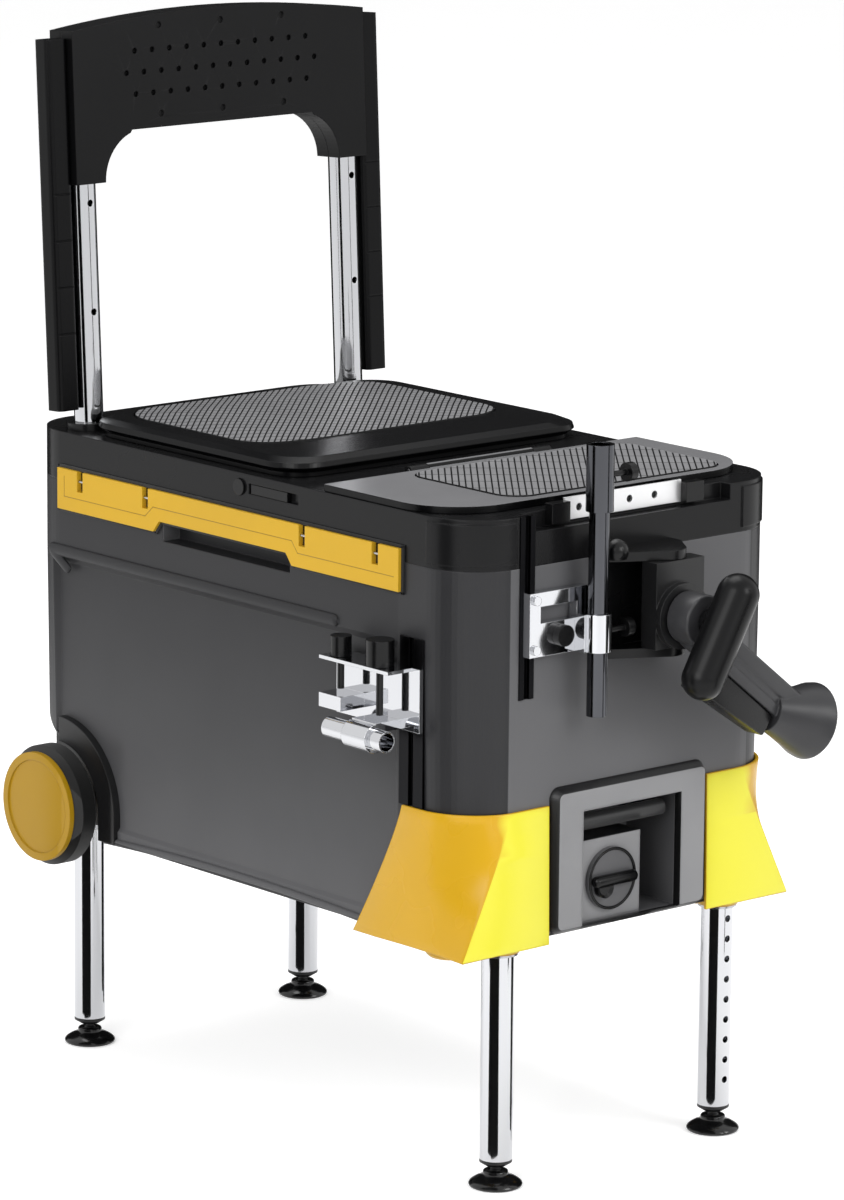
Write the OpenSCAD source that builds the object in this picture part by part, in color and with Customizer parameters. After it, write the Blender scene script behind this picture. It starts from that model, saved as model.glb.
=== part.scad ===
// Fishing seat box: a moulded tackle tub on four telescopic legs, with a seat ring, two lids,
// a backrest, two wheels, a front rod rest and clamps for accessories.
// The front end looks along -Y, the long sides along -X and +X, and Z = 0 is the ground.

/* [Box] */
// Length of the box from front to rear
box_l = 600; // [580:5:640]
// Width of the box across the long sides
box_w = 360; // [352:2:380]
// Height of the moulded tub
tub_h = 318; // [312:2:340]
// Gap between the ground and the underside of the tub
ground_gap = 214; // [210:1:222]
// Radius of the upright corners
corner_r = 52; // [46:1:56]
// Wall of the moulded tub
tub_wall = 4; // [3:0.5:5]
// How much narrower each long side is at the bottom
side_draft = 3; // [1:0.5:4]
// Height of the upright band above the drafted panels
band_h = 62; // [58:1:66]
// Depth of the sunk panels in the long sides, at their lower edge
panel_depth = 3; // [2:0.5:4]

/* [Seat ring] */
// Height of the seat ring
ring_h = 43; // [40:1:48]
// Width of the rim beside the openings
ring_rim = 30; // [28:1:34]
// Width of the bar between the two openings
cross_bar = 75; // [72:1:80]
// Depth of the rear deck that carries the backrest
rear_deck = 92; // [90:1:96]
// Depth of the front deck
front_deck = 48; // [44:1:50]
// Length of the rear opening
rear_opening = 258; // [240:2:262]

/* [Lids] */
// Height of the raised rear lid above the ring
rear_lid_h = 20; // [18:1:24]
// Thickness of the flat front lid
front_lid_t = 6; // [5:0.5:7]
// Thickness of the textured pads
pad_t = 3; // [2.5:0.5:4]
// Diameter of the hinge pins
hinge_pin_d = 4; // [3:0.5:5]
// Outer diameter of the hinge barrels
hinge_barrel_d = 9; // [8:0.5:9]

/* [Legs] */
// Diameter of the leg tubes
leg_d = 28; // [25:1:29]
// Wall of the leg tubes
leg_wall = 1.8; // [1.5:0.1:2.2]
// Length of the leg tubes
leg_l = 350; // [330:5:360]
// Inset of the legs from the long sides
leg_side_inset = 54; // [53:1:56]
// Inset of the front legs from the front end
front_leg_inset = 19; // [19:0.5:22]
// Inset of the rear legs from the rear end
rear_leg_inset = 24; // [22:0.5:26]
// Diameter of the height holes in the legs
leg_hole_d = 6; // [5:0.5:8]
// Step from hole to hole
leg_hole_step = 18; // [16:0.5:19]
// Number of height holes
leg_holes = 9; // [7:1:9]
// Height of the swivel feet up to the tubes
foot_h = 24; // [22:1:26]
// Diameter of the swivel feet
foot_d = 46; // [42:1:50]

/* [Wheels] */
// Diameter of the tyres
tyre_d = 108; // [102:1:112]
// Width of the tyres
tyre_w = 26; // [22:1:28]
// Diameter of the hub caps
cap_d = 98; // [92:1:100]
// Height of the axles above the underside of the tub
axle_up = 24; // [22:1:30]
// Inset of the axles from the rear end
axle_inset = 52; // [48:1:56]
// Diameter of the stub axles
axle_d = 10; // [8:1:12]

/* [Backrest] */
// Diameter of the backrest tubes
back_tube_d = 26; // [24:1:27]
// Inset of the backrest tubes from the long sides
back_side_inset = 30; // [29:0.5:31]
// Inset of the backrest tubes from the rear end
back_rear_inset = 57; // [52:1:58]
// Backward lean of the backrest in degrees
back_lean = 3; // [0:0.5:4]
// Height of the backrest above the ring
back_h = 363; // [350:1:380]
// Height of the backrest panel
back_panel_h = 102; // [94:1:108]
// How far the backrest stands out past the long sides
back_over = 9; // [8:0.5:12]
// Step between the height holes in the backrest tubes
back_hole_step = 96; // [88:2:98]

/* [Front accessories] */
// Diameter of the accessory post
post_d = 17.4; // [16:0.2:18]
// Length of the accessory post
post_l = 188; // [182:2:196]
// Diameter of the sleeve on top of the post
sleeve_d = 23.4; // [22:0.2:25]
// Length of the sleeve on top of the post
sleeve_l = 56; // [52:1:60]
// Length of the rod arm from its joint to the lip of its cup
arm_l = 208; // [200:2:216]
// Slope of the rod arm below the horizontal in degrees
arm_slope = 34; // [26:1:40]
// Length of the locking handle
handle_l = 112; // [104:1:118]
// Diameter of the locking handle
handle_d = 36; // [32:1:38]

/* [Side clamp] */
// Outer diameter of the side tube
side_tube_d = 18; // [16:0.5:20]
// Length of the side tube
side_tube_l = 74; // [70:1:80]
// Wall of the side tube
side_tube_wall = 1.5; // [1:0.1:2]

/* [Hidden] */
$fn = 64;
// Sides of circles inside a hull
soft_fn = 32;
// Overrun of every cut
over = 1;
// Gap between pieces that move apart
gap = 0.3;
// Play on the radius of a sliding fit
slide_play = 0.08;
// Play on the radius of a turning fit
turn_play = 0.05;
// Thinnest slab used as one end of a blend
slab = 0.5;

half_w = box_w / 2;
half_l = box_l / 2;
seam_z = ground_gap + tub_h;
ring_z = seam_z + ring_h;
band_z = seam_z - band_h;
floor_z = ground_gap + tub_wall;
leg_x = half_w - leg_side_inset;
axle_z = ground_gap + axle_up;
axle_y = half_l - axle_inset;
back_x = half_w - back_side_inset;
back_y = half_l - back_rear_inset;
back_half_w = half_w + back_over;
panel_cut = side_draft + panel_depth;
cavity_in = panel_cut + tub_wall;
panel_low = 8;
panel_top = 6;
panel_slope = 7;
runner_w = 12;
runner_h = 8;
runner_x = 96;
runner_share = 0.6;

// Openings of the ring
open_r = 14;
open_half = half_w - ring_rim;
rear_open_end = half_l - rear_deck;
rear_open_y = rear_open_end - rear_opening;
front_open_end = rear_open_y - cross_bar;
front_open_y = -half_l + front_deck;

// Corner plates of the ring
plate_t = 1.5;
plate_edge = 4;

// Accessory rails
rail_w = 16;
rail_t = 5;
rail_proud = 1;
rail_slot = 6;
rail_slot_deep = 3.5;
front_rail_in = 64;
front_rail_x = half_w - front_rail_in;
front_rail_h = 154;
front_rail_low = ring_z - front_rail_h;
side_rail_w = 30;
side_rail_y = half_l - corner_r - side_rail_w / 2 - tub_wall / 2;
side_rail_top = band_z;
panel_front = side_rail_y - side_rail_w / 2 - tub_wall;
panel_rear_in = 40;
panel_rear = half_l - panel_rear_in;

// Legs
front_leg_y = half_l - front_leg_inset;
rear_leg_y = half_l - rear_leg_inset;
sleeve_wall = 3;
leg_sleeve_r = leg_d / 2 + slide_play + sleeve_wall;
leg_sleeve_low = 12;
leg_sleeve_l = 140;
column_wall = 3;
column_top = 14;
leg_first_hole = 24;
foot_pad_t = 7;
foot_neck_r = 3.5;
foot_ball_r = 6;
foot_ball_z = 10.5;
foot_collar_r = 11;
foot_collar_h = 14;
cap_low = 18;
cap_cone = 4;
cap_low_r = 9;
cap_wall = 2.5;
cap_skirt = 12;

// Wheels
arch_play = 5;
arch_r = tyre_d / 2 + arch_play;
arch_rise = 34;
pocket_d = 34;
pocket_x = half_w - pocket_d;
liner_t = 2.5;
flange_w = 20;
flange_proud = 1.5;
wheel_in = 4;
wheel_x = half_w - wheel_in;
rim_r = tyre_d / 2 - 10;
cap_t = 5;
cap_rim = 7;
cap_dish = 1.5;
tread_round = 6;
axle_collar_r = 8;
axle_end = 6;

// Front recess and tow handle
recess_half = 56;
recess_h = 100;
recess_deep = 60;
recess_wall = 3;
surround_w = 32;
surround_half = recess_half + surround_w;
surround_h = 127;
surround_t = 8;
surround_slope = 5;
surround_r = 10;
guard_h = 113;
guard_under = 6;
guard_t = 3;
guard_flare = 7;
guard_gap = 2;
guard_in = surround_half + guard_gap;
guard_back = 78;
guard_sweep = 57;
guard_low_r = 10;
leg_boss_r = leg_sleeve_r + 2.5;
leg_boss_h = 10;
stand_r = 26;
stand_h = 12;
stand_side_in = 38;
stand_x = half_w - stand_side_in;
stand_front_in = 52;
stand_y = half_l - stand_front_in;
lock_box_w = 74;
lock_box_h = 71;
lock_box_in = 2;
lock_r = 27;
lock_off = 2;
lock_x = lock_box_w / 2 - recess_half + lock_off;
lock_up = 39;
lock_z = ground_gap + lock_up;
lock_disc_t = 4;
lock_bar_w = 10;
lock_bar_t = 6;
lock_bar_l = 48;
lock_shaft_r = 5;
lock_shaft_l = 10;
tow_r = 7;
tow_half = 48;
tow_up = 89;
tow_z = ground_gap + tow_up;
tow_in = 10;
tow_rod_r = 5;
tow_rod_x = 36;
tow_rod_l = 223;
tow_guide_r = 8;
tow_guide_l = 180;
tow_guide_y = half_l - recess_deep - recess_wall - tow_guide_l;

// Hanger rail on the long sides
trim_t = 5;
trim_top = 11.5;
trim_low = 25;
trim_front_in = 82;
trim_front = trim_front_in - half_l;
trim_rear_in = 56;
trim_rear = half_l - trim_rear_in;
trim_arch_over = 8;
trim_arch_h = 10;
trim_arch_slope = 8;
trim_notch_w = 8;
trim_notch_h = 18;
// Places of the notches as shares of the rail, from its rear end
trim_notch_shares = [0.07, 0.27, 0.73, 0.935];
hook_r = 1.2;
grip_rear = 100;
grip_front = -72;
trim_arch_rear = grip_rear + trim_arch_over;
trim_arch_front = grip_front - trim_arch_over;
grip_low = 33;
grip_high = 5;
grip_deep = 18;
grip_wall = 3;

// Latch of the rear lid
latch_in = 45;
latch_y = rear_open_y + latch_in;
latch_down = 12;
latch_z = ring_z - latch_down;
latch_r = 7;
latch_deep = 8;
latch_proud = 2;
latch_tab_l = 48;
latch_tab_h = 8;
latch_slot_l = 66;
latch_slot_h = 9;
latch_slot_y = rear_open_y;
latch_tab_t = 5;

// Rear lid
lid_side = 8;
lid_hinge_side = 12;
lid_over = 15;
lid_r = 34;
lid_skirt_in = 6;
lid_skirt_h = 8;
rear_lid_w = box_w - lid_side - lid_hinge_side;
rear_lid_l = rear_opening + 2 * lid_over;
rear_lid_x = (lid_side - lid_hinge_side) / 2;
rear_lid_y = (rear_open_y + rear_open_end) / 2;
// Heights of the plates that round the lid off, and their insets, as shares of its height and width
crown_h_shares = [0.25, 0.45, 0.65, 0.83, 1];
crown_in_shares = [0.012, 0, 0.003, 0.026, 0.176];
rear_pad_side = 22;
rear_pad_hinge = 32;
rear_pad_front = 57;
rear_pad_rear = 9;
rear_pad_r = 52;
pad_proud = 1;
lid_hollow_in = 24;
lid_hollow_h = 8;
lid_rib_w = 4;
lid_rib_x = 64;
lid_rib_y = 60;
leaf_in = 8;
barrel_r = hinge_barrel_d / 2;
barrel_z = ring_z + barrel_r + gap;
barrel_gap = 1.5;
rear_barrel_x = half_w - barrel_r - barrel_gap;
rear_barrel_y = 10;
rear_barrel_l = 140;
knuckle_l = 20;
leaf_t = 3;
lid_low = ring_z + gap;
button_travel = 3;

// Front lid
front_lid_front = 28;
front_lid_side = 2;
front_lid_r = 60;
front_lid_back = 11;
front_barrel_l = 120;
front_barrel_y = front_open_end + front_lid_back + barrel_r + barrel_gap;
front_lid_y = front_open_end + front_lid_back;
front_pad_left_in = 82;
front_pad_left = half_w - front_pad_left_in;
front_pad_right = open_half;
front_pad_front_in = 38;
front_pad_front = half_l - front_pad_front_in;
front_pad_over = 3;
front_pad_rear = -front_open_end - front_pad_over;
front_pad_r = 24;
plug_in = 2;
plug_t = 5;
plug_wall = 8;
slot_in = 30;
slot_x = slot_in - front_pad_left;
slot_up = 42;
slot_y = slot_up - front_pad_front;
slot_l = 12;
slot_w = 4;

// Steel strip at the front
notch_side = 66;
notch_half = half_w - notch_side;
notch_deep = 12;
notch_h = 14;
strip_in = 48;
strip_half = notch_half - strip_in;
strip_h = 19;
strip_t = 2;
strip_hole_r = 3.2;
strip_holes = 4;
strip_hole_in = 16;
strip_last_in = 30.5;
strip_hole_step = (2 * strip_half - strip_hole_in - strip_last_in) / (strip_holes - 1);
strip_hole_down = 1.5;
strip_hole_z = ring_z - strip_hole_down;
strip_down = 11;
strip_low = ring_z - strip_down;
end_block_w = 20;
end_block_h = 17;
end_block_t = 9;

// Backrest
socket_wall = 4;
socket_l = 170;
socket_r = back_tube_d / 2 + slide_play + socket_wall;
socket_rim = 3;
socket_rim_h = 6;
tube_in = 160;
tube_wall = 1.5;
tube_top_in = 30;
back_first_hole = 8;
back_holes = 3;
back_hole_r = 3;
back_shell_t = 16;
back_side = back_x + back_tube_d / 2 + 3;
back_inner = back_x - back_tube_d / 2 - 3;
back_low = back_h - back_panel_h;
back_gusset = 44;
back_slant = 31;
back_sag = 15;
back_arc_r = (back_half_w * back_half_w + back_sag * back_sag) / (2 * back_sag);
back_rear_t = 16;
perf_deep = 4;
back_hollow = 9;
back_hollow_rim = 12;
perf_r = 2.6;
perf_step_x = 19.5;
perf_step_z = 19;
perf_down = 52;
perf_z = back_h - perf_down;
perf_half = 5;
back_screw_x = 70;
back_screw_r = 3;
back_screw_in = 2;
back_screw_edge = 12;
back_screw_low = back_low + back_screw_edge;
back_screw_high = back_h - back_screw_edge;
wing_t = 20;
wing_low = 19;
wing_down = 18;
wing_top = back_h - wing_down;
wing_r = 5;
wing_lines = 4;
wing_line_step = 41;
wing_line_z = 67;
wing_line_h = 1.4;
wing_line_in = 1;

// Front clamp
frame_over = 6;
frame_x = -front_rail_x - frame_over;
frame_w = 64;
frame_up = 37;
frame_low = front_rail_low + frame_up;
frame_h = 54;
frame_t = 10;
frame_bar = 12;
frame_foot = 28;
frame_y = half_l + rail_proud;
bolt_r = 4;
bolt_t = 3;
clamp_knob_r = 9;
clamp_knob_t = 7;
clamp_knob_in = 34;
clamp_knob_x = frame_x + clamp_knob_in;
clamp_knob_up = 16;
clamp_knob_z = frame_low + clamp_knob_up;
clamp_screw_r = 3;
bolt_in = frame_bar / 2;
post_off = 1;
post_x = frame_x + frame_w + post_off;
post_wall = 1.5;
post_r = post_d / 2;
collar_wall = 3;
collar_r = post_r + slide_play + collar_wall;
post_y = frame_y + frame_t + collar_r;
collar_z = frame_low;
post_down = 55;
post_z = collar_z - post_down;
collar_h = 32;
collar_ear = 20;
collar_ear_in = 15;
collar_ear_x = post_x - collar_ear_in;
sleeve_grip = 15;
sleeve_z = post_z + post_l - sleeve_grip;
sleeve_bore_r = 8.4;
sleeve_screw_up = 29;
screw_r = 2.5;
screw_l = 20;
thumb_r = 8;
thumb_t = 7;

// Rod rest
bracket_down = 128;
bracket_low = ring_z - bracket_down;
bracket_h = 90;
bracket_t = 6;
bracket_plate = 8;
bracket_off = 13;
bracket_left = post_x + bracket_off;
bracket_w = 90;
bracket_right = bracket_left + bracket_w;
bracket_bevel = 12;
pivot_in = 60;
pivot_x = bracket_left + pivot_in;
pivot_out = 26;
pivot_y = half_l + pivot_out;
pivot_r = 5;
bracket_out = 43;
bracket_reach = half_l + bracket_out;
dome_r = 11;
dome_in = 14;
dome_x = bracket_left + dome_in;
dome_y = half_l + dome_in;
head_half = 27;
head_round = 18;
head_out = 1;
head_y = bracket_reach + head_out;
head_low = bracket_low + bracket_plate + gap;
head_h = bracket_h - 2 * (bracket_plate + gap);
joint_x = pivot_x;
joint_up = 35;
joint_z = bracket_low + joint_up;
disc_r = 28;
disc_t = 6;
disc_rim = 3;
arm_y = head_y + disc_t + gap;
arm_w = 26;
arm_mid = arm_y + arm_w / 2;
arm_bolt_r = 5;
stud_l = 10;
arm_boss_r = 14;
arm_eye_r = 22;
arm_low = 38;
arm_top = 4;
arm_top_fall = 5;
arm_neck = 158;
cup_axis = 20;
arm_root = 14;
block_end = 140;
cup_r = 30;
cup_neck_r = 16;
cup_wall = 3;
cup_start = 148;
rib_t = 1.2;
rib_h = 3;
rib_top = 14;
rib_low = 26;
block_start = 34;
block_h = 20;
block_slope = 12;
block_in = 2;
handle_gap = 4;
handle_y = arm_y + arm_w + handle_gap + handle_d / 2;
handle_turn = 30;
handle_lift = -10;
handle_stem_r = 11;
handle_stem_y = arm_y + arm_w + rib_t + gap;

// Side clamp
side_x = half_w + rail_proud;
side_plate_t = 4;
side_down = 78;
side_low = band_z - side_down;
side_h = 54;
side_l = 106;
side_front = side_rail_y + side_rail_w / 2;
side_rear = side_front - side_l;
side_flange = 30;
side_flange_t = 3;
flange_front_in = 10;
flange_front = side_front - flange_front_in;
flange_rear_in = 8;
flange_rear = side_rear + flange_rear_in;
jaw_up = 10;
jaw_z = side_low + jaw_up;
jaw_h = 12;
jaw_l = 28;
knob_a_in = 24;
knob_a_y = flange_front - knob_a_in;
knob_a_r = 12;
knob_a_h = 22;
knob_a_up = 12;
knob_a_low = side_low + knob_a_up;
knob_b_in = 14;
knob_b_y = flange_rear + knob_b_in;
knob_b_r = 9;
knob_b_h = 17;
knob_b_up = 26;
knob_b_low = side_low + knob_b_up;
knob_out = 18;
knob_x = side_x + knob_out;
knob_screw_r = 3;
side_tube_out = 31;
side_tube_x = side_x + side_tube_out;
side_tube_down = 5;
side_tube_z = side_low - side_tube_down;
side_tube_in = 9;
side_tube_y = side_front - side_tube_in;
strap_w = 30;
strap_t = 3;
strap_in = 24;
strap_front = side_front - strap_in;
strap_h = 8;

// Middle of the whole object on the ground
reach_left = side_tube_x + side_tube_d / 2 + strap_t;
reach_right = wheel_x + tyre_w + cap_t;
reach_front = handle_y + handle_d / 2;
reach_rear = axle_y + tyre_d / 2;
mid_x = (reach_right - reach_left) / 2;
mid_y = (reach_rear - reach_front) / 2;

// Shared forms

module on_ground() translate([-mid_x, -mid_y, 0]) children();

module both_sides() {
    children();
    mirror([1, 0, 0]) children();
}

module rounded_rect(w, l, r) {
    square([w - 2 * r, l], center = true);
    square([w, l - 2 * r], center = true);
    for (x = [-1, 1], y = [-1, 1]) translate([x * (w / 2 - r), y * (l / 2 - r)]) circle(r);
}

// A profile in the Y-Z plane drawn out along +X
module along_x(x, l) translate([x, 0, 0]) rotate([90, 0, 90]) linear_extrude(l) children();

// A profile in the X-Z plane drawn out along -Y, starting at the plane Y = -y
module along_front(y, l) translate([0, -y, 0]) rotate([90, 0, 0]) linear_extrude(l) children();

module rod_x(x, y, z, r, l) translate([x, y, z]) rotate([0, 90, 0]) cylinder(r = r, h = l);

module rod_front(x, y, z, r, l) translate([x, -y, z]) rotate([90, 0, 0]) cylinder(r = r, h = l);

module rod_up(x, y, z, r, l) translate([x, y, z]) cylinder(r = r, h = l);

// Outer body of the tub, which narrows below its upright band
module tub_body() hull() {
    translate([0, 0, band_z]) linear_extrude(band_h) rounded_rect(box_w, box_l, corner_r, $fn = soft_fn * 2);
    translate([0, 0, ground_gap]) linear_extrude(slab)
        rounded_rect(box_w - 2 * side_draft, box_l, corner_r, $fn = soft_fn * 2);
}

// Side view of a wheel pocket, grown by e
module arch_outline(e) {
    translate([axle_y, axle_z]) circle(arch_r + e);
    polygon([[axle_y - arch_r - e, axle_z], [axle_y - arch_r - e, ground_gap - over],
        [half_l + over, ground_gap - over], [half_l + over, axle_z + arch_r + arch_rise + e],
        [axle_y, axle_z + arch_r + e]]);
}

module leg_places() {
    for (x = [-1, 1]) translate([x * leg_x, -front_leg_y, 0]) children();
    for (x = [-1, 1]) translate([x * leg_x, rear_leg_y, 0]) children();
}

module back_frame() translate([0, back_y, ring_z]) rotate([-back_lean, 0, 0]) children();

// Box

module tub_ribs() {
    // Walls round the wheel pockets, the front recess and the hand grips, and the leg columns
    both_sides() along_x(pocket_x - recess_wall, pocket_d) arch_outline(recess_wall);
    translate([-recess_half - recess_wall, -half_l, ground_gap])
        cube([2 * (recess_half + recess_wall), recess_deep + recess_wall, recess_h + tub_wall + recess_wall]);
    both_sides() translate([half_w - grip_deep - grip_wall, grip_front - grip_wall, seam_z - grip_low - grip_wall])
        cube([grip_deep, grip_rear - grip_front + 2 * grip_wall, grip_low - grip_high + 2 * grip_wall]);
    leg_places() translate([0, 0, ground_gap])
        cylinder(r = leg_sleeve_r + column_wall, h = tub_h - column_top);
    both_sides() rod_front(tow_rod_x, tow_guide_y, tow_z, tow_guide_r, tow_guide_l);
}

module panel_cut_shape() hull() {
    along_x(half_w, over) translate([-panel_front, ground_gap + panel_low])
        square([panel_front + panel_rear, band_z - ground_gap - panel_low - panel_top]);
    along_x(half_w - panel_cut, slab) translate([panel_slope - panel_front, ground_gap + panel_low + panel_slope])
        square([panel_front + panel_rear - 2 * panel_slope,
            band_z - ground_gap - panel_low - panel_top - 2 * panel_slope]);
}

module tub() on_ground() color([0.23, 0.23, 0.24]) difference() {
    union() {
        difference() {
            tub_body();
            difference() {
                translate([0, 0, floor_z]) linear_extrude(tub_h)
                    rounded_rect(box_w - 2 * cavity_in, box_l - 2 * tub_wall, corner_r - cavity_in);
                tub_ribs();
            }
        }
        both_sides() translate([runner_x, -half_l / 2, ground_gap - runner_h])
            cube([runner_w, runner_share * box_l, runner_h]);
    }
    both_sides() {
        along_x(pocket_x, pocket_d + over) arch_outline(0);
        along_x(half_w - panel_cut, panel_cut + over) intersection() {
            arch_outline(flange_w);
            translate([0, ground_gap - over]) square([axle_y, tub_h]);
        }
        panel_cut_shape();
        translate([half_w - grip_deep, grip_front, seam_z - grip_low])
            cube([grip_deep + over, grip_rear - grip_front, grip_low - grip_high]);
        translate([half_w - rail_t, -side_rail_y - side_rail_w / 2, ground_gap + guard_h])
            cube([rail_t + over, side_rail_w, side_rail_top - ground_gap - guard_h]);
        rod_x(pocket_x - recess_wall - over, axle_y, axle_z, axle_d / 2, pocket_d);
        rod_front(tow_rod_x, tow_guide_y - over, tow_z, tow_rod_r + slide_play, tow_guide_l + recess_wall + 2 * over);
    }
    translate([-recess_half, -half_l - over, ground_gap + tub_wall])
        cube([2 * recess_half, recess_deep + over, recess_h]);
    leg_places() translate([0, 0, ground_gap - over]) cylinder(r = leg_sleeve_r, h = tub_h + 2 * over);
    translate([-front_rail_x - rail_w / 2, -half_l - over, front_rail_low])
        cube([rail_w, rail_t + over, seam_z - front_rail_low + over]);
}

// Knuckles that stand on the ring and carry the two hinge pins
module knuckle(l) {
    rotate([0, 90, 0]) cylinder(r = barrel_r, h = l);
    translate([0, -barrel_r, ring_z - barrel_z]) cube([l, 2 * barrel_r, barrel_z - ring_z]);
}

module seat_ring() on_ground() color([0.2, 0.2, 0.21]) difference() {
    union() {
        translate([0, 0, seam_z]) linear_extrude(ring_h) rounded_rect(box_w, box_l, corner_r);
        for (x = [-1, 1]) translate([x * (half_w - corner_r), -half_l + corner_r, seam_z + plate_edge])
            rotate([0, 0, x > 0 ? 270 : 180]) rotate_extrude(angle = 90)
                square([corner_r + plate_t, ring_h - 2 * plate_edge]);
        for (y = [rear_barrel_y - knuckle_l, rear_barrel_y + rear_barrel_l])
            translate([rear_barrel_x, y, barrel_z]) rotate([0, 0, 90]) knuckle(knuckle_l);
        for (x = [-front_barrel_l / 2 - knuckle_l, front_barrel_l / 2])
            translate([x, front_barrel_y, barrel_z]) knuckle(knuckle_l);
    }
    translate([0, (rear_open_y + rear_open_end) / 2, seam_z - over]) linear_extrude(ring_h + 2 * over)
        rounded_rect(2 * open_half, rear_opening, open_r);
    translate([0, (front_open_y + front_open_end) / 2, seam_z - over]) linear_extrude(ring_h + 2 * over)
        rounded_rect(2 * open_half, front_open_end - front_open_y, open_r);
    translate([-notch_half, -half_l - over, ring_z - notch_h])
        cube([2 * notch_half, notch_deep + over, notch_h + over]);
    translate([-front_rail_x - rail_w / 2, -half_l - over, seam_z - over])
        cube([rail_w, rail_t + over, ring_h + 2 * over]);
    back_frame() both_sides() rod_up(back_x, 0, -ring_h - over, socket_r, 2 * ring_h);
    rod_x(-half_w - over, latch_y, latch_z, latch_r + turn_play, latch_deep + over);
    translate([-half_w - over, latch_slot_y - latch_slot_l / 2, latch_z - latch_slot_h / 2])
        cube([latch_tab_t + over, latch_slot_l, latch_slot_h]);
    translate([rear_barrel_x, rear_barrel_y - knuckle_l - over, barrel_z]) rotate([-90, 0, 0])
        cylinder(d = hinge_pin_d, h = rear_barrel_l + 2 * knuckle_l + 2 * over);
    rod_x(-front_barrel_l / 2 - knuckle_l - over, front_barrel_y, barrel_z, hinge_pin_d / 2,
        front_barrel_l + 2 * knuckle_l + 2 * over);
}

module rear_crown() translate([rear_lid_x, rear_lid_y, ring_z]) hull()
    for (i = [0:len(crown_h_shares) - 1]) translate([0, 0, crown_h_shares[i] * rear_lid_h - slab])
        linear_extrude(slab) rounded_rect((1 - 2 * crown_in_shares[i]) * rear_lid_w,
            rear_lid_l - 2 * crown_in_shares[i] * rear_lid_w, lid_r, $fn = soft_fn * 2);

module rear_pad_form() translate([-rear_lid_w / 2 + rear_pad_side + rear_lid_x,
    rear_lid_y - rear_lid_l / 2 + rear_pad_front, ring_z]) linear_extrude(2 * rear_lid_h)
        translate([(rear_lid_w - rear_pad_side - rear_pad_hinge) / 2,
            (rear_lid_l - rear_pad_front - rear_pad_rear) / 2])
            rounded_rect(rear_lid_w - rear_pad_side - rear_pad_hinge,
                rear_lid_l - rear_pad_front - rear_pad_rear, rear_pad_r);

module lowered_crown() translate([0, 0, pad_proud - pad_t]) rear_crown();

module rear_lid() on_ground() color([0.27, 0.27, 0.28]) difference() {
    union() {
        rear_crown();
        translate([rear_lid_x, rear_lid_y, lid_low]) linear_extrude(lid_skirt_h)
            rounded_rect(rear_lid_w - 2 * lid_skirt_in, rear_lid_l - 2 * lid_skirt_in, lid_r - lid_skirt_in);
        translate([rear_barrel_x, rear_barrel_y + gap, barrel_z]) rotate([-90, 0, 0])
            cylinder(r = barrel_r, h = rear_barrel_l - 2 * gap);
        translate([half_w - lid_hinge_side - leaf_in, rear_barrel_y + gap, barrel_z - leaf_t / 2])
            cube([rear_barrel_x - half_w + lid_hinge_side + leaf_in, rear_barrel_l - 2 * gap, leaf_t]);
    }
    difference() {
        rear_pad_form();
        lowered_crown();
    }
    difference() {
        translate([rear_lid_x, rear_lid_y, lid_low - over]) linear_extrude(lid_hollow_h + over)
            rounded_rect(rear_lid_w - 2 * lid_hollow_in, rear_lid_l - 2 * lid_hollow_in, lid_r / 2);
        for (x = [-lid_rib_x, lid_rib_x]) translate([rear_lid_x + x - lid_rib_w / 2, rear_lid_y - rear_lid_l / 2, lid_low])
            cube([lid_rib_w, rear_lid_l, rear_lid_h]);
        for (y = [-lid_rib_y, lid_rib_y]) translate([-half_w, rear_lid_y + y - lid_rib_w / 2, lid_low])
            cube([box_w, lid_rib_w, rear_lid_h]);
    }
    translate([rear_barrel_x, 0, barrel_z]) rotate([-90, 0, 0])
        cylinder(r = hinge_pin_d / 2 + turn_play, h = rear_barrel_y + rear_barrel_l + over);
}

module rear_pad() on_ground() color([0.36, 0.36, 0.37]) difference() {
    intersection() {
        rear_pad_form();
        translate([0, 0, pad_proud]) rear_crown();
    }
    lowered_crown();
}

module front_lid_outline() {
    translate([-half_w + front_lid_side, -half_l + front_lid_front + front_lid_r])
        square([box_w - 2 * front_lid_side, half_l - front_lid_front - front_lid_r + front_lid_y]);
    translate([-half_w + front_lid_side + front_lid_r, -half_l + front_lid_front])
        square([box_w - 2 * front_lid_side - 2 * front_lid_r, front_lid_r]);
    for (x = [-1, 1]) translate([x * (half_w - front_lid_side - front_lid_r), -half_l + front_lid_front + front_lid_r])
        circle(front_lid_r);
}

module front_pad_outline() translate([(front_pad_right - front_pad_left) / 2, -(front_pad_front + front_pad_rear) / 2])
    rounded_rect(front_pad_left + front_pad_right, front_pad_front - front_pad_rear, front_pad_r);

// Outline of the lid's plug, inset from the opening
module front_plug(inset) translate([0, (front_open_y + front_open_end) / 2])
    rounded_rect(2 * (open_half - inset), front_open_end - front_open_y - 2 * inset, open_r - plug_in);

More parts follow.
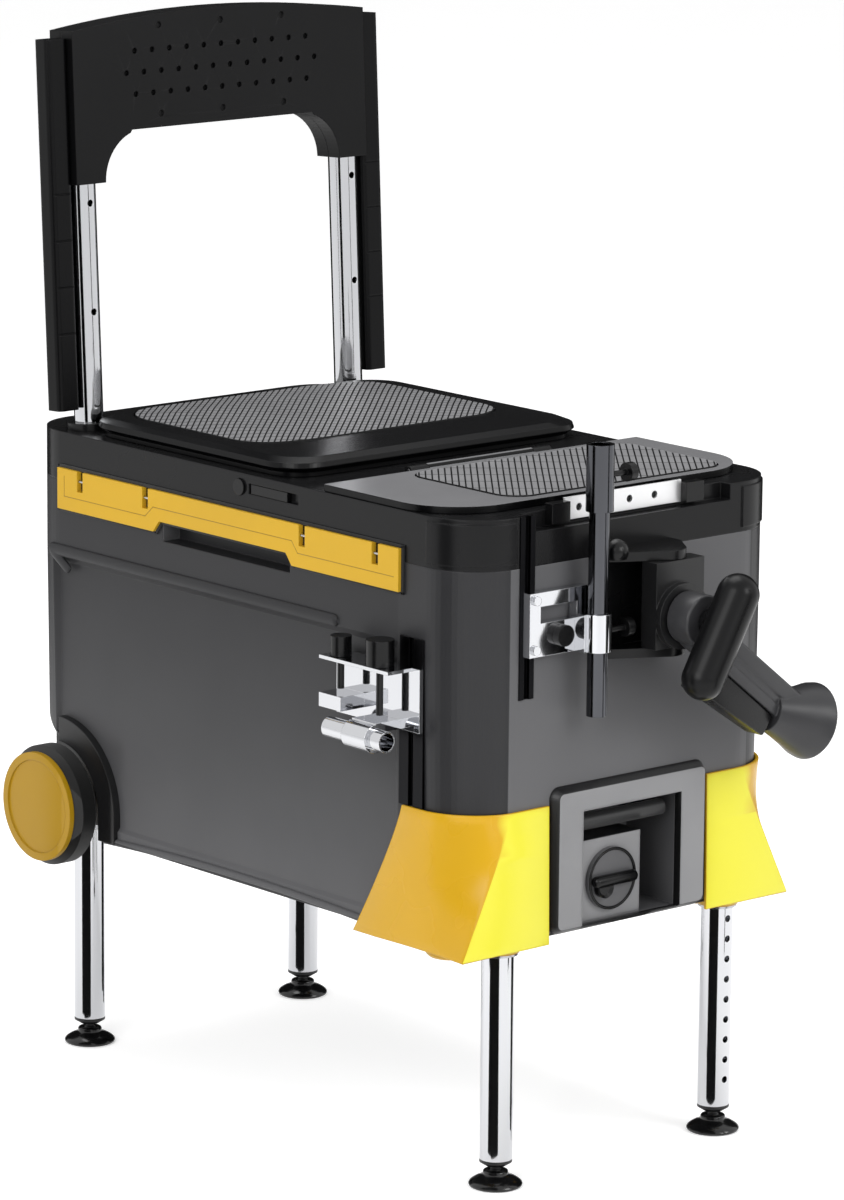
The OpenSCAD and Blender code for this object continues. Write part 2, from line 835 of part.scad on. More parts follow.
module front_lid() on_ground() color([0.3, 0.3, 0.31]) difference() {
    union() {
        translate([0, 0, lid_low]) linear_extrude(front_lid_t) front_lid_outline();
        translate([0, 0, ring_z - plug_t]) linear_extrude(plug_t + front_lid_t / 2) front_plug(plug_in);
        rod_x(-front_barrel_l / 2 + gap, front_barrel_y, barrel_z, barrel_r, front_barrel_l - 2 * gap);
        translate([-front_barrel_l / 2 + gap, front_lid_y - leaf_in, barrel_z - leaf_t / 2])
            cube([front_barrel_l - 2 * gap, front_barrel_y - front_lid_y + leaf_in, leaf_t]);
    }
    translate([0, 0, lid_low + front_lid_t + pad_proud - pad_t]) linear_extrude(pad_t) front_pad_outline();
    translate([0, 0, ring_z - plug_t - over]) linear_extrude(plug_t + over) front_plug(plug_in + plug_wall);
    rod_x(-front_barrel_l / 2, front_barrel_y, barrel_z, hinge_pin_d / 2 + turn_play, front_barrel_l);
}

module front_pad() on_ground() color([0.42, 0.42, 0.43]) difference() {
    translate([0, 0, lid_low + front_lid_t + pad_proud - pad_t]) linear_extrude(pad_t) front_pad_outline();
    translate([slot_x - slot_l / 2, slot_y - slot_w / 2, ring_z]) cube([slot_l, slot_w, ring_h]);
}

module hinge_pins() on_ground() color([0.7, 0.7, 0.72]) {
    translate([rear_barrel_x, rear_barrel_y - knuckle_l, barrel_z]) rotate([-90, 0, 0])
        cylinder(d = hinge_pin_d, h = rear_barrel_l + 2 * knuckle_l);
    rod_x(-front_barrel_l / 2 - knuckle_l, front_barrel_y, barrel_z, hinge_pin_d / 2, front_barrel_l + 2 * knuckle_l);
}

module latch_button() on_ground() color([0.1, 0.1, 0.1])
    rod_x(-half_w - latch_proud, latch_y, latch_z, latch_r, latch_proud + latch_deep - button_travel - gap);

module latch_tab() on_ground() color([0.12, 0.12, 0.12])
    translate([-half_w, latch_slot_y + latch_slot_l / 2 - latch_tab_l - button_travel, latch_z - latch_tab_h / 2])
        cube([latch_tab_t - gap, latch_tab_l, latch_tab_h]);

// Fittings on the outside of the box

module front_strip() on_ground() color([0.9, 0.9, 0.92]) difference() {
    translate([-strip_half, -half_l + notch_deep - strip_t, strip_low]) cube([2 * strip_half, strip_t, strip_h]);
    for (i = [0:strip_holes - 1]) rod_front(strip_hole_in - strip_half + i * strip_hole_step,
        half_l - notch_deep - over, strip_hole_z, strip_hole_r, strip_t + 2 * over);
}

module strip_blocks() on_ground() color([0.12, 0.12, 0.12]) both_sides()
    translate([strip_half, -half_l + notch_deep - end_block_t, strip_low]) cube([end_block_w, end_block_t, end_block_h]);

function trim_notch_y(share) = trim_rear - share * (trim_rear - trim_front);

module trim_outline() difference() {
    polygon([[trim_rear, seam_z + trim_top], [trim_front, seam_z + trim_top], [trim_front, seam_z - trim_low],
        [trim_arch_front, seam_z - trim_low], [trim_arch_front + trim_arch_slope, seam_z - trim_low + trim_arch_h],
        [trim_arch_rear - trim_arch_slope, seam_z - trim_low + trim_arch_h], [trim_arch_rear, seam_z - trim_low],
        [trim_rear, seam_z - trim_low]]);
    for (s = trim_notch_shares) translate([trim_notch_y(s) - trim_notch_w / 2, seam_z + trim_top - trim_notch_h])
        square([trim_notch_w, trim_notch_h + over]);
}

module side_trims() on_ground() color([0.95, 0.83, 0.05]) both_sides() along_x(half_w, trim_t) trim_outline();

module trim_hooks() on_ground() color([0.8, 0.8, 0.82]) both_sides() for (s = trim_notch_shares)
    translate([half_w + trim_t / 2, trim_notch_y(s) - trim_notch_w / 2, seam_z + trim_top - trim_notch_h / 2]) rotate([-90, 0, 0])
        cylinder(r = hook_r, h = trim_notch_w);

module guard_plate(grow, back, r) {
    translate([guard_in, -half_l - grow]) square([half_w + grow - guard_in - r, half_l + grow - back]);
    translate([guard_in, -half_l - grow + r]) square([half_w + grow - guard_in, half_l + grow - back - r]);
    translate([half_w + grow - r, -half_l - grow + r]) circle(r, $fn = soft_fn * 2);
}

module corner_guards() on_ground() color([0.95, 0.83, 0.05]) both_sides() difference() {
    union() {
        hull() {
            translate([0, 0, ground_gap + guard_h - slab]) linear_extrude(slab)
                guard_plate(guard_t, half_l - guard_back, corner_r + guard_t);
            translate([0, 0, ground_gap - guard_under]) linear_extrude(slab)
                guard_plate(guard_flare, half_l - guard_back - guard_sweep, guard_low_r);
        }
        rod_up(leg_x, -front_leg_y, ground_gap - leg_boss_h, leg_boss_r, leg_boss_h);
        rod_up(stand_x, -stand_y, ground_gap - guard_under - stand_h, stand_r, stand_h);
    }
    tub_body();
    rod_up(leg_x, -front_leg_y, ground_gap - guard_under - stand_h - over, leg_sleeve_r, tub_h);
}

module front_surround() on_ground() color([0.15, 0.15, 0.16]) difference() {
    union() {
        difference() {
            hull() {
                along_front(half_l, slab) translate([0, ground_gap + surround_h / 2])
                    rounded_rect(2 * surround_half, surround_h, surround_r, $fn = soft_fn);
                along_front(half_l, surround_t) translate([0, ground_gap + surround_h / 2])
                    rounded_rect(2 * (surround_half - surround_slope), surround_h - 2 * surround_slope,
                        surround_r - surround_slope, $fn = soft_fn);
            }
            translate([-recess_half, -half_l - surround_t - over, ground_gap + tub_wall])
                cube([2 * recess_half, surround_t + 2 * over, recess_h]);
        }
        translate([-recess_half, -half_l + lock_box_in, ground_gap + tub_wall])
            cube([lock_box_w, recess_deep - lock_box_in, lock_box_h]);
    }
    rod_front(lock_x, half_l - lock_box_in - lock_shaft_l - over, lock_z, lock_shaft_r + turn_play,
        lock_shaft_l + 2 * over);
}

module lock_knob() on_ground() color([0.1, 0.1, 0.1]) {
    rod_front(lock_x, half_l - lock_box_in - lock_shaft_l, lock_z, lock_shaft_r, lock_shaft_l + lock_disc_t);
    rod_front(lock_x, half_l - lock_box_in + gap, lock_z, lock_r, lock_disc_t);
    translate([lock_x - lock_bar_w / 2, -half_l + lock_box_in - gap - lock_disc_t - lock_bar_t, lock_z - lock_bar_l / 2])
        cube([lock_bar_w, lock_bar_t, lock_bar_l]);
}

module tow_rods() on_ground() color([0.75, 0.75, 0.77]) both_sides()
    rod_front(tow_rod_x, half_l - tow_in - tow_rod_l, tow_z, tow_rod_r, tow_rod_l);

module tow_grip() on_ground() color([0.12, 0.12, 0.12]) difference() {
    rod_x(-tow_half, -half_l + tow_in, tow_z, tow_r, 2 * tow_half);
    both_sides() rod_front(tow_rod_x, half_l - tow_in - tow_r - over, tow_z, tow_rod_r, tow_r + over);
}

module rails() on_ground() color([0.08, 0.08, 0.09]) {
    difference() {
        translate([-front_rail_x - rail_w / 2, -half_l - rail_proud, front_rail_low])
            cube([rail_w, rail_t + rail_proud, ring_z - front_rail_low]);
        translate([-front_rail_x - rail_slot / 2, -half_l - rail_proud - over, front_rail_low - over])
            cube([rail_slot, rail_slot_deep + over, ring_z - front_rail_low + 2 * over]);
    }
    both_sides() difference() {
        translate([half_w - rail_t, -side_rail_y - side_rail_w / 2, ground_gap + guard_h])
            cube([rail_t + rail_proud, side_rail_w, side_rail_top - ground_gap - guard_h]);
        translate([half_w + rail_proud - rail_slot_deep, -side_rail_y - rail_slot / 2, ground_gap + guard_h - over])
            cube([rail_slot_deep + over, rail_slot, side_rail_top - ground_gap - guard_h + 2 * over]);
    }
}

// Wheels

module flange_window() translate([0, ground_gap]) square([axle_y, tub_h]);

module wheel_liners() on_ground() color([0.14, 0.14, 0.15]) both_sides() difference() {
    union() {
        intersection() {
            tub_body();
            along_x(pocket_x, pocket_d + over) arch_outline(0);
        }
        along_x(half_w - panel_cut, panel_cut + flange_proud) intersection() {
            arch_outline(flange_w);
            flange_window();
        }
    }
    along_x(pocket_x + liner_t, pocket_d + flange_proud) arch_outline(-liner_t);
    rod_x(pocket_x - over, axle_y, axle_z, axle_d / 2, pocket_d);
}

module on_axle() translate([wheel_x, axle_y, axle_z]) rotate([0, 90, 0]) children();

module stub_axles() on_ground() color([0.7, 0.7, 0.72]) both_sides() {
    rod_x(pocket_x - recess_wall, axle_y, axle_z, axle_d / 2, wheel_x + tyre_w - axle_end - pocket_x + recess_wall);
    rod_x(pocket_x + liner_t, axle_y, axle_z, axle_collar_r, wheel_x - gap - pocket_x - liner_t);
}

module tyre() on_axle() rotate_extrude() polygon([[rim_r, 0], [tyre_d / 2 - tread_round, 0],
    [tyre_d / 2, tread_round], [tyre_d / 2, tyre_w - tread_round], [tyre_d / 2 - tread_round, tyre_w],
    [rim_r, tyre_w]]);

module hub() on_axle() difference() {
    union() {
        cylinder(r = rim_r, h = tyre_w);
        translate([0, 0, tyre_w]) cylinder(d = cap_d, h = cap_t);
    }
    translate([0, 0, tyre_w + cap_t - cap_dish]) cylinder(r = cap_d / 2 - cap_rim, h = cap_t);
    translate([0, 0, -over]) cylinder(r = axle_d / 2 + turn_play, h = tyre_w - axle_end + gap + over);
}

module tyre_right() on_ground() color([0.09, 0.09, 0.09]) tyre();

module tyre_left() on_ground() color([0.09, 0.09, 0.09]) mirror([1, 0, 0]) tyre();

module hub_right() on_ground() color([0.95, 0.83, 0.05]) hub();

module hub_left() on_ground() color([0.95, 0.83, 0.05]) mirror([1, 0, 0]) hub();

// Legs

module leg_sleeves() on_ground() color([0.15, 0.15, 0.15]) leg_places()
    translate([0, 0, ground_gap - leg_sleeve_low]) difference() {
        cylinder(r = leg_sleeve_r, h = leg_sleeve_l);
        translate([0, 0, -over]) cylinder(r = leg_d / 2 + slide_play, h = leg_sleeve_l + 2 * over);
    }

module leg(x, y) on_ground() color([0.82, 0.82, 0.84]) translate([x, y, foot_h]) difference() {
    cylinder(d = leg_d, h = leg_l);
    translate([0, 0, -over]) cylinder(r = leg_d / 2 - leg_wall, h = leg_l + 2 * over);
    for (i = [0:leg_holes - 1]) rod_front(0, 0, leg_first_hole + i * leg_hole_step, leg_hole_d / 2, leg_d);
}

module cap(x, y) on_ground() color([0.1, 0.1, 0.1]) translate([x, y, 0]) {
    difference() {
        union() {
            translate([0, 0, cap_low]) cylinder(r1 = cap_low_r, r2 = leg_d / 2 + cap_wall, h = cap_cone);
            translate([0, 0, cap_low + cap_cone]) cylinder(r = leg_d / 2 + cap_wall, h = foot_h + cap_skirt - cap_low - cap_cone);
        }
        translate([0, 0, foot_h]) cylinder(d = leg_d, h = cap_skirt + over);
    }
    translate([0, 0, foot_ball_z]) cylinder(r = foot_neck_r, h = cap_low - foot_ball_z + slab);
    translate([0, 0, foot_ball_z]) sphere(foot_ball_r);
}

module foot(x, y) on_ground() color([0.1, 0.1, 0.1]) translate([x, y, 0]) difference() {
    union() {
        cylinder(d = foot_d, h = foot_pad_t);
        cylinder(r = foot_collar_r, h = foot_collar_h);
    }
    translate([0, 0, foot_ball_z]) sphere(foot_ball_r + turn_play);
}

module leg_front_left() leg(-leg_x, -front_leg_y);

module leg_front_right() leg(leg_x, -front_leg_y);

module leg_rear_left() leg(-leg_x, rear_leg_y);

module leg_rear_right() leg(leg_x, rear_leg_y);

module cap_front_left() cap(-leg_x, -front_leg_y);

module cap_front_right() cap(leg_x, -front_leg_y);

module cap_rear_left() cap(-leg_x, rear_leg_y);

module cap_rear_right() cap(leg_x, rear_leg_y);

module foot_front_left() foot(-leg_x, -front_leg_y);

module foot_front_right() foot(leg_x, -front_leg_y);

module foot_rear_left() foot(-leg_x, rear_leg_y);

module foot_rear_right() foot(leg_x, rear_leg_y);

// Backrest

module back_outline() intersection() {
    polygon([[-back_side, back_h], [-back_side, back_low - back_gusset], [-back_inner, back_low - back_gusset],
        [back_slant - back_inner, back_low], [back_inner - back_slant, back_low],
        [back_inner, back_low - back_gusset], [back_side, back_low - back_gusset], [back_side, back_h]]);
    translate([0, back_h - back_arc_r]) circle(back_arc_r, $fn = soft_fn * soft_fn);
}

module back_tube_bores() both_sides()
    rod_up(back_x, 0, back_low - back_gusset - over, back_tube_d / 2, back_h - tube_top_in - back_low + back_gusset + over);

module back_front_shell() on_ground() color([0.17, 0.17, 0.17]) back_frame() difference() {
    along_front(0, back_shell_t) back_outline();
    back_tube_bores();
    for (r = [-1, 1]) for (i = [-perf_half:perf_half])
        rod_front(i * perf_step_x, back_shell_t - perf_deep, perf_z + r * perf_step_z, perf_r, perf_deep + over);
    for (i = [-perf_half:perf_half + 1])
        rod_front((i - 1 / 2) * perf_step_x, back_shell_t - perf_deep, perf_z, perf_r, perf_deep + over);
    for (x = [-1, 0, 1]) for (z = [back_screw_low, back_screw_high])
        rod_front(x * back_screw_x, back_shell_t - back_screw_in, z, back_screw_r, back_screw_in + over);
}

module back_rear_shell() on_ground() color([0.2, 0.2, 0.2]) back_frame() difference() {
    along_front(-back_rear_t, back_rear_t) back_outline();
    back_tube_bores();
}

module back_wings() on_ground() color([0.14, 0.14, 0.14]) back_frame() both_sides() difference() {
    translate([(back_side + back_half_w) / 2, 0, wing_low]) linear_extrude(wing_top - wing_low)
        rounded_rect(back_half_w - back_side, wing_t, wing_r);
    for (i = [0:wing_lines - 1])
        translate([back_side - over, -wing_t / 2 - over, wing_low + wing_line_z + i * wing_line_step])
            cube([back_half_w - back_side + 2 * over, over + wing_line_in, wing_line_h]);
}

module back_tubes() on_ground() color([0.82, 0.82, 0.84]) back_frame() both_sides() difference() {
    rod_up(back_x, 0, -tube_in, back_tube_d / 2, tube_in + back_h - tube_top_in);
    rod_up(back_x, 0, -tube_in - over, back_tube_d / 2 - tube_wall, tube_in + back_h - tube_top_in + 2 * over);
    for (i = [0:back_holes - 1])
        rod_front(back_x, 0, back_first_hole + i * back_hole_step, back_hole_r, back_tube_d);
}

module back_sockets() on_ground() color([0.12, 0.12, 0.12]) difference() {
    union() {
        back_frame() both_sides() rod_up(back_x, 0, -socket_l, socket_r, socket_l + socket_rim_h);
        intersection() {
            back_frame() both_sides() rod_up(back_x, 0, -socket_rim_h, socket_r + socket_rim, 2 * socket_rim_h);
            translate([-half_w, 0, ring_z]) cube([box_w, half_l, ring_h]);
        }
    }
    back_frame() both_sides() rod_up(back_x, 0, -socket_l - over, back_tube_d / 2 + slide_play, 2 * socket_l);
}

// Front clamp and post

module clamp_frame() on_ground() color([0.85, 0.85, 0.87]) difference() {
    translate([frame_x, -frame_y - frame_t, frame_low]) cube([frame_w, frame_t, frame_h]);
    translate([frame_x + frame_bar, -frame_y - frame_t - over, frame_low + frame_foot])
        cube([frame_w - 2 * frame_bar, frame_t + 2 * over, frame_h - frame_foot - frame_bar]);
    rod_front(clamp_knob_x, frame_y - over, clamp_knob_z, clamp_screw_r + turn_play, frame_t + 2 * over);
}

module clamp_bolts() on_ground() color([0.7, 0.7, 0.72]) for (z = [bolt_in, frame_h - bolt_in])
    rod_front(frame_x + bolt_in, frame_y + frame_t, frame_low + z, bolt_r, bolt_t);

module clamp_knob() on_ground() color([0.1, 0.1, 0.1]) {
    rod_front(clamp_knob_x, frame_y + gap, clamp_knob_z, clamp_screw_r, frame_t + clamp_knob_t);
    rod_front(clamp_knob_x, frame_y + frame_t + gap, clamp_knob_z, clamp_knob_r, clamp_knob_t);
}

module post_collar() on_ground() color([0.8, 0.8, 0.82]) difference() {
    union() {
        rod_up(post_x, -post_y, collar_z, collar_r, collar_h);
        translate([collar_ear_x, -post_y, collar_z]) cube([collar_ear, post_y - frame_y - frame_t, collar_h]);
    }
    rod_up(post_x, -post_y, collar_z - over, post_r + slide_play, collar_h + 2 * over);
    rod_x(post_x, -post_y, collar_z + collar_h / 2, screw_r + turn_play, sleeve_d);
}

module post_tube() on_ground() color([0.82, 0.82, 0.84]) difference() {
    rod_up(post_x, -post_y, post_z, post_r, post_l);
    rod_up(post_x, -post_y, post_z - over, post_r - post_wall, post_l + 2 * over);
}

module post_sleeve() on_ground() color([0.82, 0.82, 0.84]) difference() {
    rod_up(post_x, -post_y, sleeve_z, sleeve_d / 2, sleeve_l);
    rod_up(post_x, -post_y, sleeve_z - over, post_r + turn_play, sleeve_grip + gap + over);
    rod_up(post_x, -post_y, sleeve_z, sleeve_bore_r, sleeve_l + over);
    rod_x(post_x, -post_y, sleeve_z + sleeve_screw_up, screw_r + turn_play, sleeve_d);
}

module thumb_screw(z) {
    rod_x(post_x + post_r + gap, -post_y, z, screw_r, screw_l);
    rod_x(post_x + post_r + gap + screw_l, -post_y, z, thumb_r, thumb_t);
}

module collar_screw() on_ground() color([0.1, 0.1, 0.1]) thumb_screw(collar_z + collar_h / 2);

module sleeve_screw() on_ground() color([0.1, 0.1, 0.1]) thumb_screw(sleeve_z + sleeve_screw_up);

// Rod rest

module bracket_flange() linear_extrude(bracket_plate) hull() {
    translate([bracket_left, -half_l - bracket_bevel]) square([bracket_w, bracket_bevel]);
    translate([pivot_x, -pivot_y]) circle(bracket_reach - pivot_y);
}

module rod_bracket() on_ground() color([0.07, 0.07, 0.07]) {
    translate([bracket_left, -half_l - bracket_t, bracket_low])
        cube([bracket_right - bracket_left, bracket_t, bracket_h]);
    translate([0, 0, bracket_low]) bracket_flange();
    translate([0, 0, bracket_low + bracket_h - bracket_plate]) bracket_flange();
    rod_up(pivot_x, -pivot_y, bracket_low, pivot_r, bracket_h);
    intersection() {
        translate([dome_x, -dome_y, bracket_low + bracket_h]) sphere(dome_r);
        rod_up(dome_x, -dome_y, bracket_low + bracket_h - bracket_t, dome_r, 2 * dome_r);
    }
}

module rod_head() on_ground() color([0.1, 0.1, 0.1]) difference() {
    union() {
        rod_up(pivot_x, -pivot_y, head_low, head_round, head_h);
        translate([pivot_x - head_half, -head_y, head_low]) cube([2 * head_half, head_y - pivot_y, head_h]);
        rod_front(joint_x, head_y, joint_z, disc_r, disc_t);
        rod_front(joint_x, head_y, joint_z, arm_bolt_r, handle_stem_y - head_y + stud_l);
    }
    rod_up(pivot_x, -pivot_y, head_low - over, pivot_r + turn_play, head_h + 2 * over);
}

module arm_frame() translate([joint_x, 0, joint_z]) rotate([0, arm_slope, 0]) children();

module rod_arm() on_ground() color([0.3, 0.3, 0.31]) arm_frame() difference() {
    union() {
        along_front(arm_y, arm_w) {
            circle(arm_eye_r);
            polygon([[-arm_root, -arm_low + arm_root], [0, -arm_low], [arm_neck, -arm_low],
                [arm_neck, -arm_top - arm_top_fall], [0, -arm_top], [-arm_root, -arm_top]]);
        }
        for (z = [rib_top, rib_low]) translate([arm_eye_r, -arm_y - arm_w - rib_t, -z - rib_h])
            cube([cup_start - arm_eye_r, rib_t + over, rib_h]);
        translate([cup_start, -arm_mid, -cup_axis]) rotate([0, 90, 0])
            cylinder(r1 = cup_neck_r, r2 = cup_r, h = arm_l - cup_start);
        rod_front(0, arm_y + arm_w - over, 0, arm_boss_r, over + rib_t);
    }
    rod_front(0, arm_y - over, 0, arm_bolt_r + turn_play, arm_w + rib_t + 2 * over);
    translate([arm_neck, -arm_mid, -cup_axis]) rotate([0, 90, 0])
        cylinder(r1 = cup_neck_r - cup_wall, r2 = cup_r - cup_wall, h = arm_l - arm_neck + slab);
}

module rod_block() on_ground() color([0.06, 0.06, 0.06]) arm_frame()
    along_front(arm_y + block_in, arm_w - 2 * block_in) polygon([[block_start, -arm_low], [block_end, -arm_low],
        [block_end - block_slope, -arm_low - block_h], [block_start + block_slope, -arm_low - block_h]]);

module lock_handle() on_ground() color([0.16, 0.16, 0.16]) translate([joint_x, 0, joint_z]) difference() {
    union() {
        rod_front(0, handle_stem_y, 0, handle_stem_r, handle_y - handle_stem_y);
        translate([0, -handle_y, 0]) rotate([0, handle_turn, 0]) translate([0, 0, handle_lift]) {
            translate([0, 0, handle_d / 2 - handle_l / 2]) cylinder(d = handle_d, h = handle_l - handle_d);
            for (z = [-1, 1]) translate([0, 0, z * (handle_l - handle_d) / 2]) sphere(handle_d / 2);
        }
    }
    rod_front(0, handle_stem_y - over, 0, arm_bolt_r + turn_play, over + stud_l + gap);
}

// Side clamp

module side_bracket() on_ground() color([0.8, 0.8, 0.82]) difference() {
    union() {
        translate([-side_x - side_plate_t, -side_front, side_low])
            cube([side_plate_t, side_front - side_rear, side_h]);
        translate([-side_x - side_flange, -flange_front, side_low + side_h - side_flange_t])
            cube([side_flange, flange_front - flange_rear, side_flange_t]);
        translate([-side_x - side_flange, -flange_rear - jaw_l, jaw_z]) cube([side_flange, jaw_l, jaw_h]);
        translate([-side_tube_x, -strap_front, side_low]) cube([side_tube_x - side_x, strap_w, strap_h]);
        rod_front(-side_tube_x, strap_front - strap_w, side_tube_z, side_tube_d / 2 + strap_t, strap_w);
    }
    rod_front(-side_tube_x, strap_front - strap_w - over, side_tube_z, side_tube_d / 2, strap_w + 2 * over);
    for (y = [knob_a_y, knob_b_y]) rod_up(-knob_x, -y, jaw_z + jaw_h + gap, knob_screw_r + turn_play, side_h);
}

module side_knob_front() on_ground() color([0.1, 0.1, 0.1]) {
    rod_up(-knob_x, -knob_a_y, knob_a_low, knob_screw_r, side_low + side_h + knob_a_h - knob_a_low);
    rod_up(-knob_x, -knob_a_y, side_low + side_h + gap, knob_a_r, knob_a_h);
}

module side_knob_rear() on_ground() color([0.1, 0.1, 0.1]) {
    rod_up(-knob_x, -knob_b_y, knob_b_low, knob_screw_r, side_low + side_h + knob_b_h - knob_b_low);
    rod_up(-knob_x, -knob_b_y, side_low + side_h + gap, knob_b_r, knob_b_h);
}

module side_tube() on_ground() color([0.85, 0.85, 0.87]) difference() {
    rod_front(-side_tube_x, side_tube_y - side_tube_l, side_tube_z, side_tube_d / 2, side_tube_l);
    rod_front(-side_tube_x, side_tube_y - side_tube_l - over, side_tube_z, side_tube_d / 2 - side_tube_wall,
        side_tube_l + 2 * over);
}

tub();
seat_ring();
rear_lid();
rear_pad();
front_lid();
front_pad();
hinge_pins();
latch_button();
latch_tab();
front_strip();
strip_blocks();
side_trims();
trim_hooks();
corner_guards();
front_surround();
lock_knob();
tow_grip();
tow_rods();
rails();
wheel_liners();
stub_axles();
tyre_left();
tyre_right();
hub_left();
hub_right();
leg_sleeves();
leg_front_left();
leg_front_right();
leg_rear_left();
leg_rear_right();
cap_front_left();
cap_front_right();
cap_rear_left();
cap_rear_right();
foot_front_left();
foot_front_right();
foot_rear_left();
foot_rear_right();
back_front_shell();
back_rear_shell();
back_wings();
back_tubes();
back_sockets();
clamp_frame();
clamp_bolts();
clamp_knob();
post_collar();
post_tube();
post_sleeve();
collar_screw();
sleeve_screw();
rod_bracket();
rod_head();
rod_arm();
rod_block();
lock_handle();
side_bracket();
side_knob_front();
side_knob_rear();
side_tube();
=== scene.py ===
import math

import bpy
from mathutils import Matrix, Vector


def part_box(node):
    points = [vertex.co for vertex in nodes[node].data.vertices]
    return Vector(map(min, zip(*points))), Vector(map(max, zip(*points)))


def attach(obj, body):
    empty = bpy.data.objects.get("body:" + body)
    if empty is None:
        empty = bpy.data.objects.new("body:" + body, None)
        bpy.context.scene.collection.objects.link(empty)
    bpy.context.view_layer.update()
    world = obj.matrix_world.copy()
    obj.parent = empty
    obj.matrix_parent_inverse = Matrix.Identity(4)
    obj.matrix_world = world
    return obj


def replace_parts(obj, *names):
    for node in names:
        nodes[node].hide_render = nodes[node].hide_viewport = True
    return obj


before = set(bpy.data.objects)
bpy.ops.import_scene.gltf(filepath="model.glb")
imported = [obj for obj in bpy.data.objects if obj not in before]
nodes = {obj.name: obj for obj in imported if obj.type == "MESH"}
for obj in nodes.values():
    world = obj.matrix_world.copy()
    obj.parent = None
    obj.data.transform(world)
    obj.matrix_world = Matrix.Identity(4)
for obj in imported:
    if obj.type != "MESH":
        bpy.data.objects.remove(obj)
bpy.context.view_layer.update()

# --- Studio -----------------------------------------------------------------------------------
# A pale floor under a white sky, three soft lamps, and dark cards that give the bright metal its
# dark bands and keep the lids from mirroring the sky. The camera was fitted to the photograph.

tub_low, tub_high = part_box("tub")
home = Vector(((tub_low.x + tub_high.x) / 2, (tub_low.y + tub_high.y) / 2, 0))


def spot(x, y, z):
    """A point given in millimetres from the middle of the box's footprint on the floor."""
    return home + Vector((x, y, z)) / 1000


# Lengths are in metres, save those that go through spot or a helper that asks for millimetres.
camera_azimuth = math.radians(-40.96)
camera_elevation = math.radians(11.96)
camera_roll = math.radians(0.51)
camera_distance, camera_sight, camera_aim = 5.14808, 50, 300
camera_aside, camera_above = 0.02421, 0.13678
camera_lens, camera_sensor = 175.54, 36


def placed_camera():
    """The camera, turned by its roll about the line of sight."""
    back = Vector((math.sin(camera_azimuth) * math.cos(camera_elevation),
                   -math.cos(camera_azimuth) * math.cos(camera_elevation),
                   math.sin(camera_elevation)))
    right = Vector((math.cos(camera_azimuth), math.sin(camera_azimuth), 0))
    up = back.cross(right)
    across = math.cos(camera_roll) * right + math.sin(camera_roll) * up
    upward = math.cos(camera_roll) * up - math.sin(camera_roll) * right
    data = bpy.data.cameras.new("camera")
    data.sensor_fit, data.sensor_height, data.lens = "VERTICAL", camera_sensor, camera_lens
    data.clip_end = camera_sight
    made = bpy.data.objects.new("camera", data)
    bpy.context.scene.collection.objects.link(made)
    turn = Matrix((across, upward, back)).transposed().to_4x4()
    stand = (spot(0, 0, camera_aim) + back * camera_distance + across * camera_aside
             + upward * camera_above)
    made.matrix_world = Matrix.Translation(stand) @ turn
    return made


bpy.context.scene.camera = placed_camera()
bpy.context.scene.view_settings.view_transform = "Standard"


def linear(colour):
    """An sRGB hex colour as the linear colour that a shader takes."""
    parts = [int(colour[i:i + 2], 16) / 255 for i in (1, 3, 5)]
    return [*(p / 12.92 if p <= 0.04045 else ((p + 0.055) / 1.055) ** 2.4 for p in parts), 1]


def add(owner, kind, values=None, links=None, **options):
    """Adds one shader node with its options, its input values and what its inputs link to."""
    made = owner.node_tree.nodes.new("ShaderNode" + kind)
    for name, value in options.items():
        setattr(made, name, value)
    for name, value in (values or {}).items():
        made.inputs[name].default_value = value
    for name, source in (links or {}).items():
        owner.node_tree.links.new(source, made.inputs[name])
    return made


def blank(name):
    """A material with no node in it yet."""
    made = bpy.data.materials.new(name)
    made.use_nodes = True
    made.node_tree.nodes.clear()
    return made


def seen_directly(owner):
    """1 for camera, glossy and transmission rays, which see a backdrop brighter than it lights."""
    ray = add(owner, "LightPath")
    first = add(owner, "Math", operation="MAXIMUM",
                links={0: ray.outputs["Is Camera Ray"], 1: ray.outputs["Is Glossy Ray"]})
    return add(owner, "Math", operation="MAXIMUM",
               links={0: first.outputs[0], 1: ray.outputs["Is Transmission Ray"]}).outputs[0]


floor_size, floor_drop, floor_cloud = 60, 0.0004, 1.5
floor_dark, floor_light, floor_lift = 0.9, 0.93, 0.47


def floor_paint():
    """Matt white studio floor, lifted to white for the eye and in reflections; its shadow stays."""
    made = blank("matt_floor_paint")
    place = add(made, "TexCoord").outputs["Object"]
    cloud = add(made, "TexNoise", {"Scale": floor_cloud, "Detail": 2.0}, {"Vector": place})
    tone = add(made, "MapRange", {"To Min": floor_dark, "To Max": floor_light},
               {"Value": cloud.outputs[0]})
    paint = add(made, "BsdfDiffuse", {"Roughness": 0.6}, {"Color": tone.outputs[0]})
    lift = add(made, "Math", {1: floor_lift}, {0: seen_directly(made)}, operation="MULTIPLY")
    shine = add(made, "Emission", links={"Strength": lift.outputs[0]})
    both = add(made, "AddShader", links={0: paint.outputs[0], 1: shine.outputs[0]})
    add(made, "OutputMaterial", links={"Surface": both.outputs[0]})
    return made


bpy.ops.object.select_all(action="DESELECT")
bpy.ops.mesh.primitive_plane_add(size=floor_size, location=(0, 0, -floor_drop))
floor = bpy.context.object
floor.name = "floor"
floor.data.materials.append(floor_paint())

